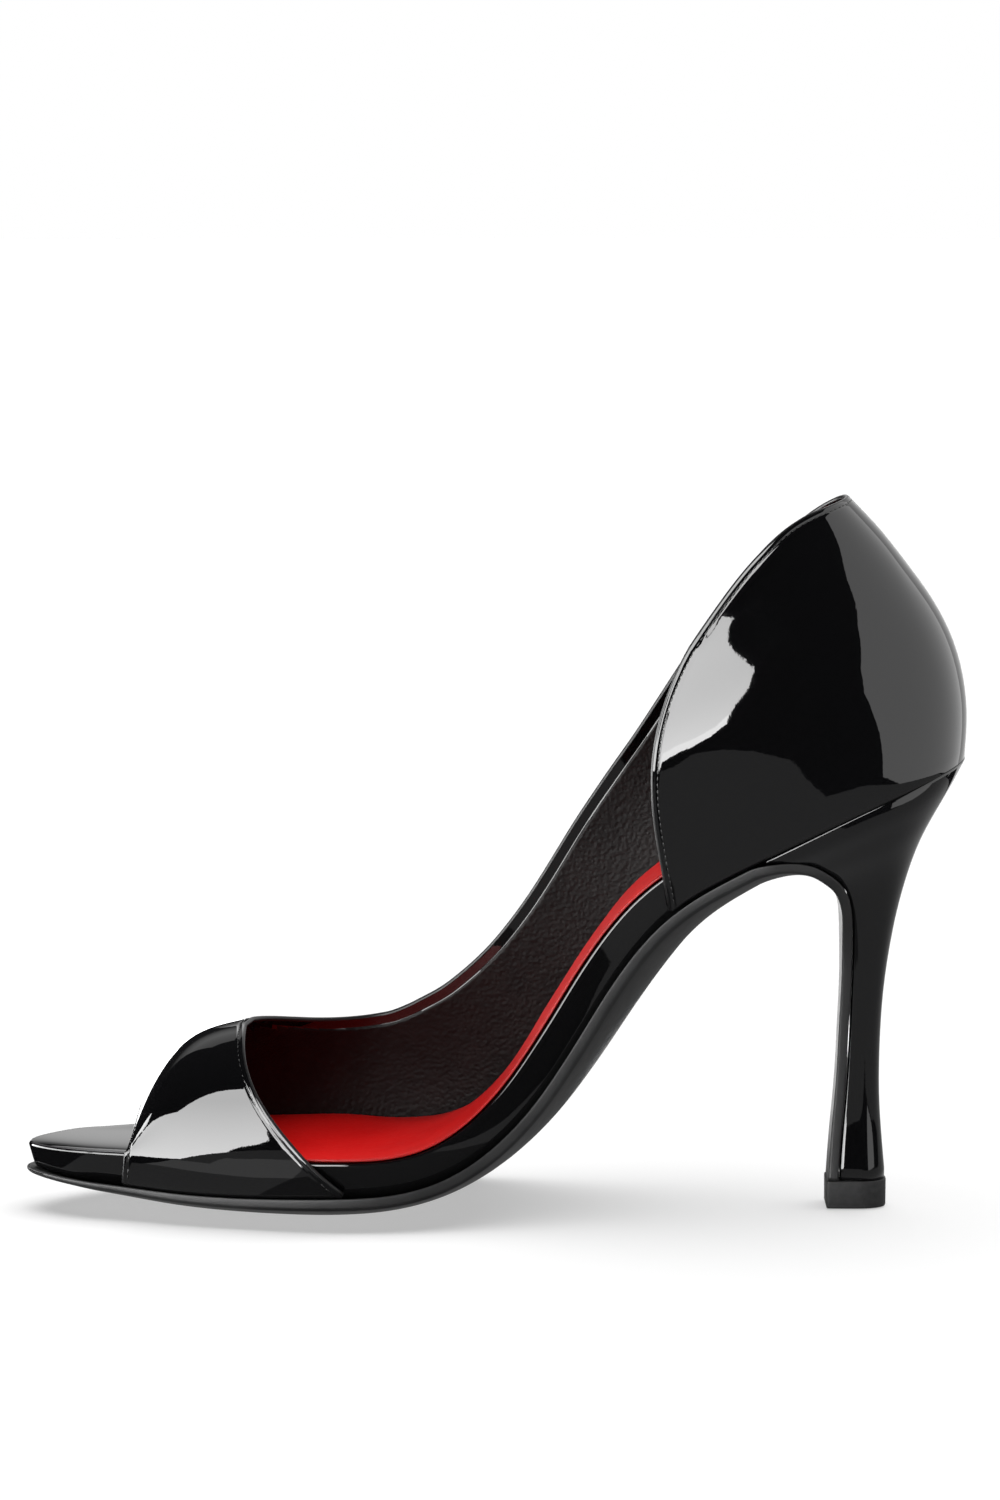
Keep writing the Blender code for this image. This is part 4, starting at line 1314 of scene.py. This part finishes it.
def stage_mesh(name, points, faces, look, glossy_only):
    """Part of the studio; one that is glossy only shows in reflections and nowhere else."""
    mesh = bpy.data.meshes.new(name)
    mesh.from_pydata(points, [], faces)
    mesh.materials.append(look)
    thing = added(name, mesh)
    thing.visible_glossy = glossy_only
    thing.visible_camera = thing.visible_diffuse = thing.visible_shadow = not glossy_only


def glow(name, light):
    """Plain light: one strength, or two levels in metres with the strength at each."""
    look = bpy.data.materials.new(name)
    look.use_nodes = True
    tree = look.node_tree
    tree.nodes.remove(tree.nodes["Principled BSDF"])
    emission = tree.nodes.new("ShaderNodeEmission")
    tree.links.new(emission.outputs["Emission"], tree.nodes["Material Output"].inputs["Surface"])
    if isinstance(light, float):
        emission.inputs["Strength"].default_value = light
        return look
    (low, at_low), (high, at_high) = light
    place = tree.nodes.new("ShaderNodeTexCoord")
    split = tree.nodes.new("ShaderNodeSeparateXYZ")
    ramp = with_values(tree.nodes.new("ShaderNodeMapRange"), From_Min=low, From_Max=high, To_Min=at_low,
                       To_Max=at_high)
    tree.links.new(place.outputs["Object"], split.inputs["Vector"])
    tree.links.new(split.outputs["Z"], ramp.inputs["Value"])
    tree.links.new(ramp.outputs["Result"], emission.inputs["Strength"])
    return look


def card_light(light, distance):
    """Light of a card, with its elevations as levels in metres."""
    if isinstance(light, float):
        return light
    return [(STUDIO_AIM.z + distance * math.sin(math.radians(elevation)), strength)
            for elevation, strength in light]


def make_card(name, distance, light, rows):
    """Light card that only reflections see, on a sphere round the shoe."""
    azimuths, lows, highs = np.array(rows).T
    turns = np.linspace(azimuths[0], azimuths[-1], CARD_COLUMNS)
    shares = np.linspace(0.0, 1.0, CARD_ROWS)
    lows = np.interp(turns, azimuths, lows)
    highs = np.interp(turns, azimuths, highs)
    turn = np.radians(np.repeat(turns[:, None], len(shares), axis=1))
    rise = np.radians(mix(lows[:, None], highs[:, None], shares))
    away = np.stack((np.sin(turn) * np.cos(rise), -np.cos(turn) * np.cos(rise), np.sin(rise)), axis=-1)
    points = np.array(STUDIO_AIM) + away * distance
    faces = grid_faces(np.arange(turn.size).reshape(turn.shape))
    look = glow(name, card_light(light, distance))
    stage_mesh(name, points.reshape(-1, 3).tolist(), faces, look, glossy_only=True)


def floor_patch(name, corners, level, look, glossy_only):
    points = [(x, y, level) for x, y in corners]
    stage_mesh(name, points, [tuple(range(len(points)))], look, glossy_only)


def make_floor():
    look = Look("pale_floor", Base_Color=(FLOOR_GREY, FLOOR_GREY, FLOOR_GREY, 1.0), Roughness=FLOOR_ROUGHNESS,
                Specular_IOR_Level=0.0, Emission_Color=(1.0, 1.0, 1.0, 1.0), Emission_Strength=FLOOR_GLOW)
    wide = [(x * STUDIO_REACH, y * STUDIO_REACH) for x, y in ((-1, -1), (1, -1), (1, 1), (-1, 1))]
    floor_patch("floor", wide, FLOOR_LEVEL, look.material, False)
    for name, strength, level, corners in FLOOR_PATCHES:
        floor_patch(name, corners, level, glow(name, strength), True)


def make_dome():
    """White ground behind the shoe, which only the camera sees."""
    mesh = bpy.data.meshes.new("white_dome")
    made = bmesh.new()
    around, upwards = DOME_SEGMENTS
    bmesh.ops.create_uvsphere(made, u_segments=around, v_segments=upwards, radius=STUDIO_REACH * DOME_SHARE)
    made.to_mesh(mesh)
    made.free()
    mesh.materials.append(glow("white_dome", 1.0))
    dome = added("white_dome", mesh)
    dome.visible_diffuse = dome.visible_glossy = dome.visible_shadow = False


def make_lights():
    """Wide light from above, which reflections don't show, and a nearly dark world."""
    sun = bpy.data.lights.new("overhead", "SUN")
    sun.energy = SUN_STRENGTH
    sun.angle = math.radians(SUN_ANGLE)
    overhead = added("overhead", sun)
    overhead.rotation_euler = [math.radians(turn) for turn in SUN_TURN]
    overhead.visible_glossy = False
    world = bpy.data.worlds.new("studio")
    world.use_nodes = True
    world.node_tree.nodes["Background"].inputs["Color"].default_value = WORLD_GREY
    bpy.context.scene.world = world


def make_stage():
    make_floor()
    make_dome()
    for card in CARDS:
        make_card(*card)
    make_lights()


def make_camera():
    """Camera at the photographed angle: a long lens, slightly above the shoe, at its inner side."""
    elevation = math.radians(CAMERA_ELEVATION)
    data = bpy.data.cameras.new("camera")
    data.sensor_width = CAMERA_SENSOR
    data.lens = CAMERA_SENSOR * CAMERA_DISTANCE / CAMERA_HEIGHT
    camera = added("camera", data)
    back = Vector((0.0, -math.cos(elevation), math.sin(elevation)))
    camera.location = CAMERA_AIM + back * CAMERA_DISTANCE
    camera.rotation_euler = (-back).to_track_quat("-Z", "Y").to_euler()
    bpy.context.scene.camera = camera


def build():
    looks = {
        "patent": patent("patent_upper", (0.0045, 0.0045, 0.005)),
        "rand": patent("patent_rand", (0.006, 0.006, 0.0065)),
        "heel": patent("patent_heel", (0.005, 0.005, 0.0055)),
        "lining": lining_leather(),
        "sock": red_leather(),
        "outsole": sole_leather(),
        "tip": tip_rubber(),
        "edge": painted_edge(),
        "thread": thread(),
    }
    make_upper(looks)
    make_board(looks)
    make_sock(looks)
    make_outsole(looks)
    make_heel(looks)
    make_top_piece(looks)
    make_camera()
    make_stage()
    bpy.context.scene.view_settings.view_transform = "Standard"


build()
